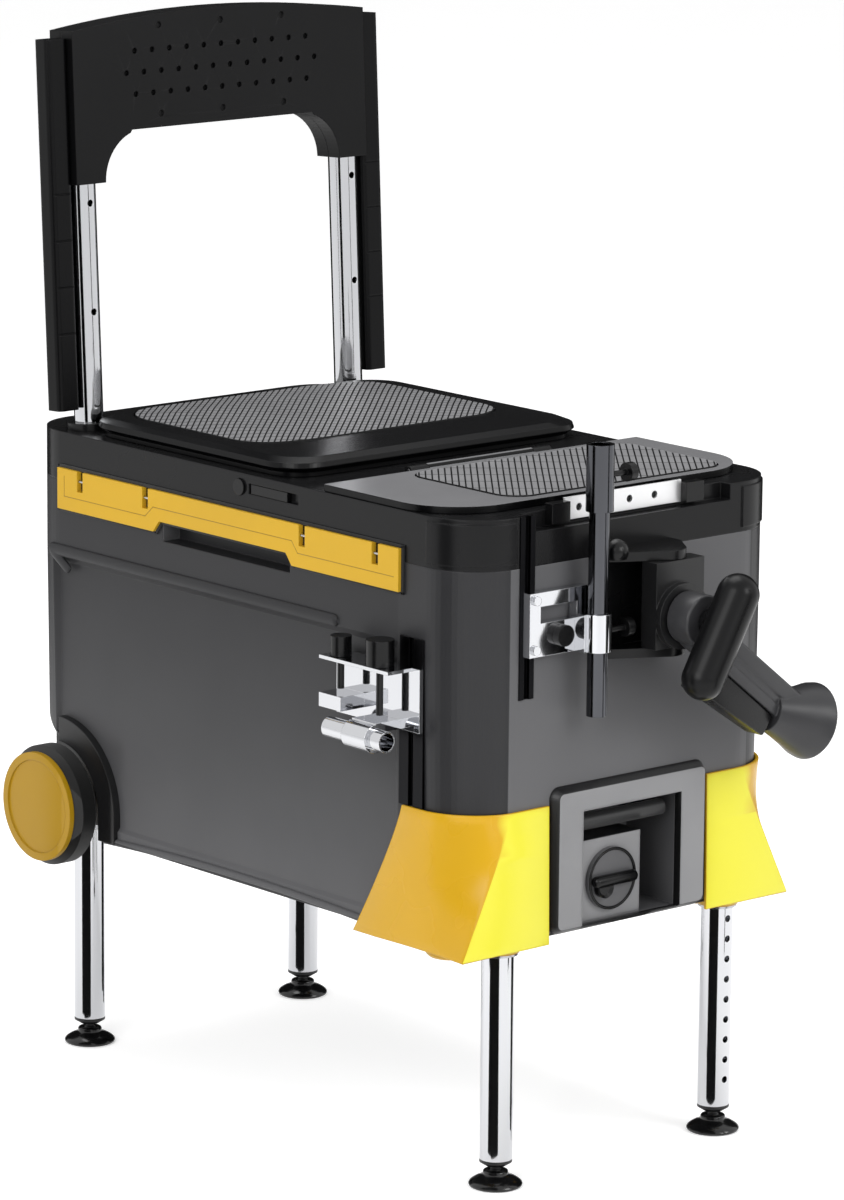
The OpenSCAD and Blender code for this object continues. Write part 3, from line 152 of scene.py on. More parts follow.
sky_light, sky_seen = 0.55, 1.0
sky = bpy.data.worlds.new("sky")
bpy.context.scene.world = sky
sky.use_nodes = True
sky.node_tree.nodes.clear()
level = add(sky, "MapRange", {"To Min": sky_light, "To Max": sky_seen},
            {"Value": seen_directly(sky)})
glow = add(sky, "Background", {"Color": (1, 1, 1, 1)}, {"Strength": level.outputs[0]})
add(sky, "OutputWorld", links={"Surface": glow.outputs[0]})

for name, stand, aim, width, height, power in (
        ("lamp_left", (-2.4, -1.0, 1.7), (0, 0, 0.4), 1.6, 1.6, 28),
        ("lamp_front", (0.9, -2.9, 1.9), (0, 0, 0.4), 1.8, 1.2, 34),
        ("lamp_top", (0.2, 0.5, 2.8), (0, 0, 0.5), 1.6, 1.6, 22)):
    light = bpy.data.lights.new(name, "AREA")
    light.shape, light.size, light.size_y, light.energy = "RECTANGLE", width, height, power
    lamp = bpy.data.objects.new(name, light)
    bpy.context.scene.collection.objects.link(lamp)
    look = (Vector(aim) - Vector(stand)).to_track_quat("-Z", "Y").to_matrix().to_4x4()
    lamp.matrix_world = Matrix.Translation(stand) @ look
    lamp.visible_camera = False


def dark_card(name, azimuth, distance, width, height, tone, middle):
    """A dark felt card, stood some way off a point, that only mirrored rays meet."""
    angle = math.radians(azimuth)
    stand = middle + Vector((math.sin(angle), -math.cos(angle), 0)) * distance
    bpy.ops.object.select_all(action="DESELECT")
    bpy.ops.mesh.primitive_plane_add(size=1, location=(stand.x, stand.y, height / 2),
                                     rotation=(math.pi / 2, 0, angle))
    card = bpy.context.object
    card.name = name
    card.scale = (width, height, 1)
    card.visible_camera = card.visible_shadow = card.visible_diffuse = False
    felt = blank(name + "_felt")
    cloth = add(felt, "BsdfDiffuse", {"Color": (tone, tone, tone, 1)})
    add(felt, "OutputMaterial", links={"Surface": cloth.outputs[0]})
    card.data.materials.append(felt)


for name, azimuth, distance, width, height, tone in (("card_side", -76, 0.85, 0.36, 0.9, 0.004),
                                                     ("card_front", 17, 0.9, 0.12, 0.9, 0.004),
                                                     ("card_behind", 139, 1.3, 3.2, 1.9, 0.02)):
    dark_card(name, azimuth, distance, width, height, tone, home)

# --- Tub --------------------------------------------------------------------------------------
# The box itself, injection-moulded from charcoal polypropylene copolymer. Its large panels have
# a fine spark-eroded grain and painted light: they are painted paler towards the ground, for light
# bounced up from the floor, and paler on the front faces, for light from the front. Its corner
# columns are polished. A ridge runs along each side panel and a bowed bead along its foot.

# A Mix node's inputs share their names, so they are taken by number.
mix_factor, value_a, value_b, colour_a, colour_b = 0, 2, 3, 6, 7
slow_tint, slow_dull, slow_shiny = 1.18, 1.25, 0.8
paler_edge_from, paler_edge_to, paler_edge_share = 0.995, 0.8, 0.6


def lighter(colour, share):
    """A linear colour, times a share."""
    return [*(min(1, part * share) for part in colour[:3]), 1]


def moulded(name, colour, rough, grain, depth, edge, edge_light=1.6, ior=1.49, patch=None,
            shine=0.5):
    """Moulded plastic: grain in mm across and depth mm deep, drawn about five times coarser than
    real spark grain so that it shows, edges of edge mm painted paler, partly as rubbed wear and
    partly as a painted highlight, and a slow change of gloss as hands leave it. patch is (colour
    maker, rough, mask maker) of a second zone."""
    made = blank(name)
    place = add(made, "TexCoord").outputs["Object"]
    fine = add(made, "TexNoise", {"Scale": 1000 / grain, "Detail": 2.0, "Roughness": 0.6},
               {"Vector": place})
    slow = add(made, "TexNoise", {"Scale": 9.0, "Detail": 3.0, "Roughness": 0.55},
               {"Vector": place}).outputs[0]
    base = linear(colour)
    tint = add(made, "Mix", {colour_a: base, colour_b: lighter(base, slow_tint)},
               {mix_factor: slow}, data_type="RGBA").outputs[2]
    dull = add(made, "MapRange", {"To Min": rough * slow_shiny, "To Max": rough * slow_dull},
               {"Value": slow}).outputs[0]
    if patch:
        zone_tint, zone_rough, zone = patch
        mask = zone(made, place)
        tint = add(made, "Mix", data_type="RGBA", links={
            mix_factor: mask, colour_a: tint, colour_b: zone_tint(made, place)}).outputs[2]
        dull = add(made, "Mix", {value_b: zone_rough}, {mix_factor: mask, value_a: dull}).outputs[0]
    # The rounded edges are painted paler by edge_light: partly rubbed wear, partly a painted
    # highlight.
    round_edge = add(made, "Bevel", {"Radius": edge / 1000}, samples=4)
    flat = add(made, "NewGeometry")
    turned = add(made, "VectorMath", operation="DOT_PRODUCT",
                 links={0: round_edge.outputs[0], 1: flat.outputs["Normal"]})
    sheen_and_wear = add(made, "MapRange", {"From Min": paler_edge_from, "From Max": paler_edge_to},
               {"Value": turned.outputs["Value"]})
    edge_paler_share = add(made, "Math", {1: paler_edge_share}, {0: sheen_and_wear.outputs[0]}, operation="MULTIPLY")
    edge_highlight_and_wear = add(made, "HueSaturation", {"Value": edge_light}, {"Color": tint})
    paint = add(made, "Mix", data_type="RGBA", links={
        mix_factor: edge_paler_share.outputs[0], colour_a: tint, colour_b: edge_highlight_and_wear.outputs[0]}).outputs[2]
    bump = add(made, "Bump", {"Strength": 0.6, "Distance": depth / 1000},
               {"Height": fine.outputs[0], "Normal": round_edge.outputs[0]})
    shade = add(made, "BsdfPrincipled", {"IOR": ior, "Metallic": 0.0, "Specular IOR Level": shine},
                {"Base Color": paint, "Roughness": dull, "Normal": bump.outputs[0]})
    add(made, "OutputMaterial", links={"Surface": shade.outputs[0]})
    return made


def dress(material, *names):
    """Gives CAD nodes a material in place of their plain one."""
    for name in names:
        slots = nodes[name].data.materials
        slots.clear()
        slots.append(material)


panel_front, panel_foot, panel_head = home.y - 0.212, 0.2165, 0.53
face_left, face_right = home.x - 0.133, home.x + 0.141
zone_soft = 0.001
front_starts, front_full = -0.93, -0.985
painted_light_drift, painted_light_power = 0.02, 1.8


def panel_zone(made, place):
    """1 on the grained panels of the tub, 0 on its polished columns and its lower edge."""
    axes = add(made, "SeparateXYZ", links={0: place}).outputs
    along = add(made, "MapRange", {"From Min": panel_front - zone_soft, "From Max": panel_front},
                {"Value": axes[1]}).outputs[0]
    right = add(made, "MapRange", {"From Min": face_left - zone_soft, "From Max": face_left},
                {"Value": axes[0]}).outputs[0]
    left = add(made, "MapRange", {"From Min": face_right, "From Max": face_right - zone_soft},
               {"Value": axes[0]}).outputs[0]
    face = add(made, "Math", links={0: left, 1: right}, operation="MINIMUM").outputs[0]
    either = add(made, "Math", links={0: along, 1: face}, operation="MAXIMUM").outputs[0]
    foot = add(made, "MapRange", {"From Min": panel_foot - zone_soft / 2, "From Max": panel_foot},
               {"Value": axes[2]}).outputs[0]
    return add(made, "Math", links={0: either, 1: foot}, operation="MINIMUM").outputs[0]


def facing(made, axis):
    """How far a face looks along an axis, from -1 to 1."""
    normal = add(made, "NewGeometry").outputs["Normal"]
    return add(made, "SeparateXYZ", links={0: normal}).outputs[axis]


def toward_front(made, place):
    """1 on the faces that look to the front, 0 on those that turn round the corner."""
    return add(made, "MapRange", {"From Min": front_starts, "From Max": front_full},
               {"Value": facing(made, 1)}).outputs[0]


def painted_floor_and_front_light(made, place):
    """Charcoal with painted light: paler towards the foot of the box, for light bounced up from the
    floor, and paler on the faces that look to the front, for light from the front.
    """
    height = add(made, "SeparateXYZ", links={0: place}).outputs[2]
    cloud = add(made, "TexNoise", {"Scale": 14.0, "Detail": 4.0}, {"Vector": place}).outputs[0]
    drift = add(made, "MapRange", {"To Min": -painted_light_drift, "To Max": painted_light_drift},
                {"Value": cloud}).outputs[0]
    wavy = add(made, "Math", links={0: height, 1: drift}, operation="ADD").outputs[0]
    share = add(made, "MapRange", {"From Min": panel_head, "From Max": panel_foot},
                {"Value": wavy}).outputs[0]
    low = add(made, "Math", {1: painted_light_power}, {0: share}, operation="POWER").outputs[0]
    side = add(made, "Mix", {colour_a: linear("#28282a"), colour_b: linear("#5d5d5f")},
               {mix_factor: low}, data_type="RGBA").outputs[2]
    face = add(made, "Mix", {colour_a: linear("#5c5c5e"), colour_b: linear("#6e6e70")},
               {mix_factor: share}, data_type="RGBA").outputs[2]
    return add(made, "Mix", data_type="RGBA", links={
        mix_factor: toward_front(made, place), colour_a: side, colour_b: face}).outputs[2]


# The panels' patch is painted light: paler towards the ground and on the faces that look to the
# front.
tub_plastic = moulded("grained_polypropylene", "#29292b", 0.34, 1.1, 0.05, 2.0,
                      patch=(painted_floor_and_front_light, 0.46, panel_zone), shine=0.3)
dress(tub_plastic, "tub")


def alone(piece):
    """Makes a piece the active one and the only one selected."""
    bpy.ops.object.select_all(action="DESELECT")
    piece.select_set(True)
    bpy.context.view_layer.objects.active = piece


def freeze():
    """Puts the selected piece's place, turn and scale in its mesh."""
    bpy.ops.object.transform_apply(location=True, rotation=True, scale=True)


def settle(piece, name, material, body, smooth=35):
    """Names and paints a finished piece, places it in its mesh and lets it ride on its body."""
    alone(piece)
    freeze()
    bpy.ops.object.shade_smooth_by_angle(angle=math.radians(smooth))
    piece.name = name
    piece.data.materials.clear()
    piece.data.materials.append(material)
    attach(piece, body)
    return piece


# How squarely a face looks along an axis to count as the face on that side.
square_on = 0.9


def pick(piece, test):
    """Opens a piece in edit mode with the faces selected whose middle and normal pass a test."""
    bpy.ops.object.mode_set(mode="OBJECT")
    alone(piece)
    bpy.ops.object.mode_set(mode="EDIT")
    bpy.ops.mesh.select_mode(type="FACE")
    bpy.ops.mesh.select_all(action="DESELECT")
    bpy.ops.object.mode_set(mode="OBJECT")
    for face in piece.data.polygons:
        face.select = test(face.center, face.normal)
    bpy.ops.object.mode_set(mode="EDIT")


dome_share = 0.9


def capsule(start, end, radius, squeeze=1.0):
    """A round bar with domed ends from one point to another, squeezed across the x axis."""
    start, end = Vector(start), Vector(end)
    bpy.ops.object.select_all(action="DESELECT")
    bpy.ops.mesh.primitive_cylinder_add(vertices=24, radius=radius, depth=(end - start).length,
                                        location=(0, 0, 0))
    bar = bpy.context.object
    pick(bar, lambda middle, normal: abs(normal.z) > square_on)
    bpy.ops.mesh.bevel(offset=radius * dome_share, segments=6, affect="EDGES")
    bpy.ops.object.mode_set(mode="OBJECT")
    turn = (end - start).to_track_quat("Z", "X").to_matrix().to_4x4()
    flatten = Matrix.Diagonal((squeeze, 1, 1, 1))
    bar.matrix_world = Matrix.Translation((start + end) / 2) @ flatten @ turn
    freeze()
    return bar


def joined(pieces):
    """Several meshes as one."""
    bpy.ops.object.select_all(action="DESELECT")
    for piece in pieces:
        piece.select_set(True)
    bpy.context.view_layer.objects.active = pieces[0]
    bpy.ops.object.join()
    return pieces[0]


ridge_x, ridge_z, ridge_r, ridge_squeeze = 180, 468, 0.0056, 0.6
ridge_rear, ridge_front = 262, -136
# A short limb slants down and forwards from the ridge's rear end.
limb_rear, limb_front, limb_start, limb_drop, limb_share = 259, 233, 1, 17, 0.8
bead_x, bead_z, bead_bow, bead_r, bead_rear, bead_front = 177.6, 214.6, 5.5, 0.0031, 186, -203
for side, word in ((-1, "left"), (1, "right")):
    wall = side * ridge_x
    ridge = joined([
        capsule(spot(wall, ridge_rear, ridge_z), spot(wall, ridge_front, ridge_z), ridge_r,
                ridge_squeeze),
        capsule(spot(wall, limb_rear, ridge_z - limb_start),
                spot(wall, limb_front, ridge_z - limb_drop), ridge_r * limb_share, ridge_squeeze)])
    settle(ridge, "panel_ridge_" + word, tub_plastic, "box")
    chord = (bead_rear - bead_front) / 2000
    bow = bead_bow / 1000
    bow_radius = (chord ** 2 + bow ** 2) / (2 * bow)
    bpy.ops.object.select_all(action="DESELECT")
    bpy.ops.mesh.primitive_circle_add(vertices=14, radius=bead_r, fill_type="NGON",
                                      location=spot(side * bead_x, bead_rear, bead_z),
                                      rotation=(math.pi / 2, 0, 0))
    bead = bpy.context.object
    freeze()
    bpy.ops.object.mode_set(mode="EDIT")
    bpy.ops.mesh.select_all(action="SELECT")
    middle = spot(side * bead_x, (bead_rear + bead_front) / 2, bead_z + bead_bow)
    bpy.ops.mesh.spin(steps=18, angle=-2 * math.asin(chord / bow_radius), dupli=False,
                      center=middle - Vector((0, 0, bow_radius)), axis=(1, 0, 0))
    bpy.ops.mesh.select_all(action="SELECT")
    bpy.ops.mesh.fill_holes(sides=0)
    bpy.ops.mesh.normals_make_consistent(inside=False)
    bpy.ops.object.mode_set(mode="OBJECT")
    settle(bead, "panel_foot_bead_" + word, tub_plastic, "box")

# --- Wheels -----------------------------------------------------------------------------------
# Two moulded wells in the rear corners, a steel stub axle in each, and plastic wheels: a black
# thermoplastic rubber tyre over a yellow hub with a dished cap that is left bare.

well_plastic = moulded("polypropylene_liner", "#161617", 0.4, 1.2, 0.05, 1.5)
dress(well_plastic, "wheel_liners")

dust_tint = 1.7


def rubber(name, colour, rough, grain, depth):
    """Moulded rubber: dull, with a fine grain, drawn coarser than it is, and a dusty bloom."""
    made = blank(name)
    place = add(made, "TexCoord").outputs["Object"]
    fine = add(made, "TexNoise", {"Scale": 1000 / grain, "Detail": 3.0}, {"Vector": place})
    dust = add(made, "TexNoise", {"Scale": 30.0, "Detail": 4.0, "Roughness": 0.7},
               {"Vector": place})
    base = linear(colour)
    tint = add(made, "Mix", {colour_a: base, colour_b: lighter(base, dust_tint)},
               {mix_factor: dust.outputs[0]}, data_type="RGBA")
    bump = add(made, "Bump", {"Strength": 0.7, "Distance": depth / 1000},
               {"Height": fine.outputs[0]})
    shade = add(made, "BsdfPrincipled", {"IOR": 1.52, "Roughness": rough, "Sheen Weight": 0.15},
                {"Base Color": tint.outputs[2], "Normal": bump.outputs[0]})
    add(made, "OutputMaterial", links={"Surface": shade.outputs[0]})
    return made


tyre_rubber = rubber("thermoplastic_rubber", "#0e0e0e", 0.62, 1.0, 0.08)
dress(tyre_rubber, "tyre_left", "tyre_right")
hub_plastic = moulded("yellow_abs_hub", "#b48b10", 0.34, 1.4, 0.02, 1.6, 1.12, shine=0.35)
dress(hub_plastic, "hub_left", "hub_right")

drawn_lines, line_depth, plated_edge = (900.0, 900.0, 6.0), 0.00002, 0.0006
wiped, smeared = 0.6, 1.6


def plated(name, colour, rough):
    """Plated steel: a mirror with faint upright drawing lines and small wipe marks."""
    made = blank(name)
    place = add(made, "TexCoord").outputs["Object"]
    stretch = add(made, "Mapping", {"Scale": drawn_lines}, {"Vector": place})
    lines = add(made, "TexNoise", {"Scale": 1.0, "Detail": 2.0}, {"Vector": stretch.outputs[0]})
    smear = add(made, "TexNoise", {"Scale": 26.0, "Detail": 4.0, "Roughness": 0.65},
                {"Vector": place})
    dull = add(made, "MapRange", {"To Min": rough * wiped, "To Max": rough * smeared},
               {"Value": smear.outputs[0]})
    round_edge = add(made, "Bevel", {"Radius": plated_edge}, samples=4)
    bump = add(made, "Bump", {"Strength": 0.15, "Distance": line_depth},
               {"Height": lines.outputs[0], "Normal": round_edge.outputs[0]})
    shade = add(made, "BsdfPrincipled", {"Base Color": linear(colour), "Metallic": 1.0},
                {"Roughness": dull.outputs[0], "Normal": bump.outputs[0]})
    add(made, "OutputMaterial", links={"Surface": shade.outputs[0]})
    return made


zinc_steel = plated("zinc_plated_steel", "#b9babd", 0.22)
dress(zinc_steel, "stub_axles")

# --- Legs -------------------------------------------------------------------------------------
# Four chromed telescopic tubes in zinc-plated sleeves. Each has a nylon plug in its end with a
# ball under it, and the ball sits in a domed, glossy rubber foot. Only the front right tube has
# its row of holes to the front; the other three are turned half round.

chrome = plated("chrome_plated_tube", "#cfd0d3", 0.05)
dress(zinc_steel, "leg_sleeves")
dress(chrome, "leg_front_right")
cap_plastic = moulded("glass_filled_nylon", "#121213", 0.33, 1.0, 0.03, 0.8)
foot_rubber = moulded("polished_foot_rubber", "#0c0c0d", 0.17, 1.6, 0.01, 0.6, 1.4, ior=1.52)
merge_gap = 0.00001


def lathed(profile, axis_at):
    """A turned shape: (radius, height) in mm, spun about an upright axis."""
    outline = bpy.data.meshes.new("outline")
    outline.from_pydata([(axis_at.x + r / 1000, axis_at.y, z / 1000) for r, z in profile],
                        [(i, i + 1) for i in range(len(profile) - 1)], [])
    made = bpy.data.objects.new("turned", outline)
    bpy.context.scene.collection.objects.link(made)
    alone(made)
    bpy.ops.object.mode_set(mode="EDIT")
    bpy.ops.mesh.select_all(action="SELECT")
    bpy.ops.mesh.spin(steps=48, angle=2 * math.pi, center=(axis_at.x, axis_at.y, 0),
                      axis=(0, 0, 1))
    bpy.ops.mesh.select_all(action="SELECT")
    bpy.ops.mesh.remove_doubles(threshold=merge_gap)
    bpy.ops.mesh.normals_make_consistent(inside=False)
    bpy.ops.object.mode_set(mode="OBJECT")
    return made


def merged_copy(name, new_name):
    """A copy of a CAD node with its shared points merged."""
    made = bpy.data.objects.new(new_name, nodes[name].data.copy())
    bpy.context.scene.collection.objects.link(made)
    alone(made)
    bpy.ops.object.mode_set(mode="EDIT")
    bpy.ops.mesh.select_all(action="SELECT")
    bpy.ops.mesh.remove_doubles(threshold=merge_gap)
    bpy.ops.object.mode_set(mode="OBJECT")
    return made


foot_profile = [(0, 0), (21, 0), (22.6, 0.9), (23, 2.4), (22.4, 3.8), (20.6, 5.3), (17.8, 7),
                (14.6, 8.5), (11.6, 9.6), (10.8, 10.4), (10.8, 12.6), (10.2, 13.6), (9.4, 14),
                (5.6, 14), (6.3, 12.5), (6.7, 10.5), (6.3, 8.5), (5.3, 6.5), (3.7, 5), (0, 3.9)]
plug_profile = [(0, 4.5), (2.6, 5.1), (4.6, 6.7), (5.7, 8.8), (6, 10.5), (5.7, 12.2),
                (4.8, 14.1), (3.6, 15.3), (3.6, 17.6), (8.6, 18), (12.4, 20.4), (14, 21.4),
                (14, 23.6), (13.4, 24), (12.2, 24), (12.2, 36), (0, 36)]
card_azimuth, card_reach, card_width, card_height, card_tone = -61, 0.1, 0.12, 0.3, 0.02
for corner in ("front_left", "front_right", "rear_left", "rear_right"):
    leg_low, leg_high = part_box("leg_" + corner)
    axis_at = (leg_low + leg_high) / 2
    dark_card("card_" + corner, card_azimuth, card_reach, card_width, card_height, card_tone,
              axis_at)
    if corner != "front_right":
        tube = merged_copy("leg_" + corner, "tube")
        tube.data.transform(Matrix.Translation(axis_at) @ Matrix.Rotation(math.pi, 4, "Z")
                            @ Matrix.Translation(-axis_at))
        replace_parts(settle(tube, "tube_" + corner, chrome, "leg_" + corner),
                    "leg_" + corner)
    plug = lathed(plug_profile, axis_at)
    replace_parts(settle(plug, "plug_" + corner, cap_plastic, "leg_" + corner),
                "cap_" + corner)
    foot = lathed(foot_profile, axis_at)
    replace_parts(settle(foot, "domed_foot_" + corner, foot_rubber, "foot_" + corner),
                "foot_" + corner)

# --- Yellow guards ----------------------------------------------------------------------------
# A bright yellow polypropylene shell round each front foot of the box, 3.1 mm thick. Its front
# plate widens downwards to a slanted crease, behind which the shell sweeps round the corner and
# out to a side lip. Two round pads stand under it.

guard_top, guard_drop = 327, 119
plate_in, plate_front, plate_lean = 90, 303, 2
round_x, round_y, round_r = 128, 248, 55
low_out, low_hollow, low_front, low_run = 187, 2, 305, 110
lip_x, lip_out, lip_y, lip_run, lip_power = 183, 4, 222, 57, 1.2
guard_steps, guard_levels = 20, 14
guard_wall, guard_edge, guard_edge_angle = 0.0031, 0.0007, math.radians(40)
guard_pads = ((126, -281, 204, 216, 19.5, 16.8), (145, -243, 196, 212, 21, 16))
bore_edge, rim_edge = 1, 2


def painted_lit_lemon(made, place):
    """The brighter yellow of the faces that look to the front, painted as the light from the front.
    """
    cloud = add(made, "TexNoise", {"Scale": 12.0, "Detail": 2.0}, {"Vector": place}).outputs[0]
    return add(made, "Mix", {colour_a: linear("#f7ef34"), colour_b: linear("#faf34a")},
               {mix_factor: cloud}, data_type="RGBA").outputs[2]


# A lit and a shaded tone of one yellow: faces that look to the front are painted lemon as painted
# light, the others keep the amber as painted shade.
guard_plastic = moulded("yellow_polypropylene", "#d6a50c", 0.26, 1.6, 0.02, 2.5, 1.15,
                        patch=(painted_lit_lemon, 0.26, toward_front))


def guard_row(share):
    """Points of one level of the guard in mm, from its inner front edge to its side lip."""
    height = guard_top - share * guard_drop
    row = [(plate_in, -plate_front - share * plate_lean, height)]
    for step in range(guard_steps + 1):
        t = step / guard_steps
        turn = math.pi / 2 * t
        x, y = round_x + round_r * math.sin(turn), -round_y - round_r * math.cos(turn)
        low_x, low_y = low_out - low_hollow * math.sin(2 * turn), -low_front + low_run * t
        row.append((x + share * (low_x - x), y + share * (low_y - y), height))
    row.append((lip_x + lip_out * share, -lip_y + lip_run * share ** lip_power, height))
    return row


for side, word in ((-1, "left"), (1, "right")):
    rows = [guard_row(at / guard_levels) for at in range(guard_levels + 1)]
    across = len(rows[0])
    shell = bpy.data.meshes.new("guard")
    shell.from_pydata([spot(side * x, y, z) for row in rows for x, y, z in row], [],
                      [(a, a + 1, a + 1 + across, a + across) for at in range(guard_levels)
                       for a in range(at * across, (at + 1) * across - 1)])
    guard = bpy.data.objects.new("guard", shell)
    bpy.context.scene.collection.objects.link(guard)
    pick(guard, lambda middle, normal: True)
    bpy.ops.mesh.normals_make_consistent(inside=False)
    bpy.ops.object.mode_set(mode="OBJECT")
    # The wall grows against the normals, so these have to look outwards.
    if sum(face.normal.y for face in shell.polygons) > 0:
        pick(guard, lambda middle, normal: True)
        bpy.ops.mesh.flip_normals()
        bpy.ops.object.mode_set(mode="OBJECT")
    wall = guard.modifiers.new("wall", "SOLIDIFY")
    wall.thickness, wall.offset = guard_wall, -1
    bpy.ops.object.modifier_apply(modifier="wall")
    soften = guard.modifiers.new("soften", "BEVEL")
    soften.width, soften.segments, soften.limit_method = guard_edge, 2, "ANGLE"
    soften.angle_limit = guard_edge_angle
    bpy.ops.object.modifier_apply(modifier="soften")
    pads = [lathed([(inner, high), (inner, low + bore_edge), (inner + bore_edge, low),
                    (outer - rim_edge, low), (outer, low + rim_edge), (outer, high),
                    (inner, high)], spot(side * x, y, 0))
            for x, y, low, high, outer, inner in guard_pads]
    settle(joined([guard] + pads), "corner_guard_" + word, guard_plastic, "box")
# Both guards are one node of the CAD model, and the left one stands for it.
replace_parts(bpy.data.objects["corner_guard_left"], "corner_guards")

# --- Hanger rails -----------------------------------------------------------------------------
# A notched rail of yellow ABS on each long side, framed by a thin black band that is painted
# shadow in the gap round it, with a fine darker line along its lower edge that is painted shade
# of a step, and small steel hooks in its notches.

rail_plastic = moulded("yellow_rail_abs", "#d8ab26", 0.42, 1.2, 0.03, 0.8, 1.15, shine=0.35)
dress(rail_plastic, "side_trims")
dress(zinc_steel, "trim_hooks")
# A thin black band round each rail, painted shadow of the gap between rail and tub.
shadow_gap_black = rubber("shadow_gap_black", "#060607", 0.7, 1.0, 0.04)
# A darker amber strip along the rail's lower edge, painted as the shade of its step.
painted_step_shade = moulded("yellow_rail_step_shade", "#a47f1c", 0.5, 1.2, 0.02, 0.4, 1.0)
band_soft = 0.3


def band(points, x, width, thick):
    """A thin flat band along points of a wall at x, in mm: a bevelled bar for each straight run."""
    runs = []
    for (y0, z0), (y1, z1) in zip(points, points[1:]):
        length = math.hypot(y1 - y0, z1 - z0)
        bpy.ops.object.select_all(action="DESELECT")
        bpy.ops.mesh.primitive_cube_add(size=1, location=spot(x, (y0 + y1) / 2, (z0 + z1) / 2),
                                        rotation=(math.atan2(z1 - z0, y1 - y0), 0, 0))
        run = bpy.context.object
        run.scale = (thick / 1000, (length + width) / 1000, width / 1000)
        freeze()
        bpy.ops.object.mode_set(mode="EDIT")
        bpy.ops.mesh.select_all(action="SELECT")
        bpy.ops.mesh.bevel(offset=min(thick, width) * band_soft / 1000, segments=2, affect="EDGES")
        bpy.ops.object.mode_set(mode="OBJECT")
        runs.append(run)
    return joined(runs)


rail_edge = [(244, 543.5), (-218, 543.5), (-218, 507), (-80, 507), (-72, 517), (100, 517),
             (108, 507), (244, 507), (244, 543.5)]
rail_end, rail_middle = 200, 530
shadow_gap_x, shadow_gap_out, shadow_gap_width, shadow_gap_thick = 181, 1.2, 3, 2.4
shadow_gap_edge = [(y + math.copysign(shadow_gap_out, y) * (abs(y) > rail_end),
                z + math.copysign(shadow_gap_out, z - rail_middle)) for y, z in rail_edge]
ledge_line = [(234, 537), (234, 519), (119, 519), (108, 528.5), (-80, 528.5), (-88, 519),
              (-212, 519)]
ledge_x, ledge_width, ledge_thick = 184.9, 0.8, 0.5
for side, word in ((-1, "left"), (1, "right")):
    shadow_gap = band(shadow_gap_edge, side * shadow_gap_x, shadow_gap_width, shadow_gap_thick)
    settle(shadow_gap, "rail_shadow_gap_" + word, shadow_gap_black, "box")
    ledge = band(ledge_line, side * ledge_x, ledge_width, ledge_thick)
    settle(ledge, "rail_ledge_" + word, painted_step_shade, "box")

# --- Front surround, lock and tow handle ------------------------------------------------------
# A raised charcoal frame round the recess, its front faces painted grey as painted light, with the
# lock in it, a grey dial with a black ring that is painted shade of its groove and a finger bar,
# and a pull-out handle: a rubbered grip on two steel rods.


def painted_lit_grey(made, place):
    """Grained grey painted on the faces that look to the front as painted light, paler than the
    columns.
    """
    cloud = add(made, "TexNoise", {"Scale": 20.0, "Detail": 3.0}, {"Vector": place}).outputs[0]
    return add(made, "Mix", {colour_a: linear("#88888a"), colour_b: linear("#949496")},
               {mix_factor: cloud}, data_type="RGBA").outputs[2]


# The surround's faces that look to the front are painted grey as painted light; its other faces
# keep the charcoal.
surround_plastic = moulded("grained_surround_abs", "#131314", 0.38, 1.1, 0.04, 5.0, 1.35,
                           patch=(painted_lit_grey, 0.4, toward_front))
dress(surround_plastic, "front_surround")
black_abs = moulded("black_abs", "#0a0a0b", 0.26, 1.2, 0.02, 1.0, shine=0.3)
dress(rubber("grip_rubber", "#1a1a1b", 0.45, 1.0, 0.06), "tow_grip")
dress(zinc_steel, "tow_rods")
rail_metal = plated("anodised_rail", "#1b1b1d", 0.3)
dress(rail_metal, "rails")


def front_disc(middle, radius, thick, vertices):
    """A disc that faces the front, in metres."""
    bpy.ops.object.select_all(action="DESELECT")
    bpy.ops.mesh.primitive_cylinder_add(vertices=vertices, radius=radius, depth=thick,
                                        location=middle, rotation=(math.pi / 2, 0, 0))
    disc = bpy.context.object
    freeze()
    return disc


lock_low, lock_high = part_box("lock_knob")
lock_x, lock_z = (lock_low.x + lock_high.x) / 2, (lock_low.z + lock_high.z) / 2
dial_back, dial_r, dial_t, dial_sides = home.y - 0.2982, 0.027, 0.004, 72
dial_front = dial_back - dial_t
rim_width, step_width, step_depth = 0.0022, 0.0008, 0.0008
dial = front_disc((lock_x, dial_back - dial_t / 2, lock_z), dial_r, dial_t, vertices=dial_sides)
pick(dial, lambda middle, normal: normal.y < -square_on)
bpy.ops.mesh.inset(thickness=rim_width, depth=0)
bpy.ops.mesh.inset(thickness=step_width, depth=-step_depth)
bpy.ops.object.mode_set(mode="OBJECT")
dial_plastic = moulded("grained_dial_abs", "#5b5b5d", 0.4, 1.1, 0.03, 0.6, 1.2)
settle(dial, "lock_dial", dial_plastic, "lock_knob")

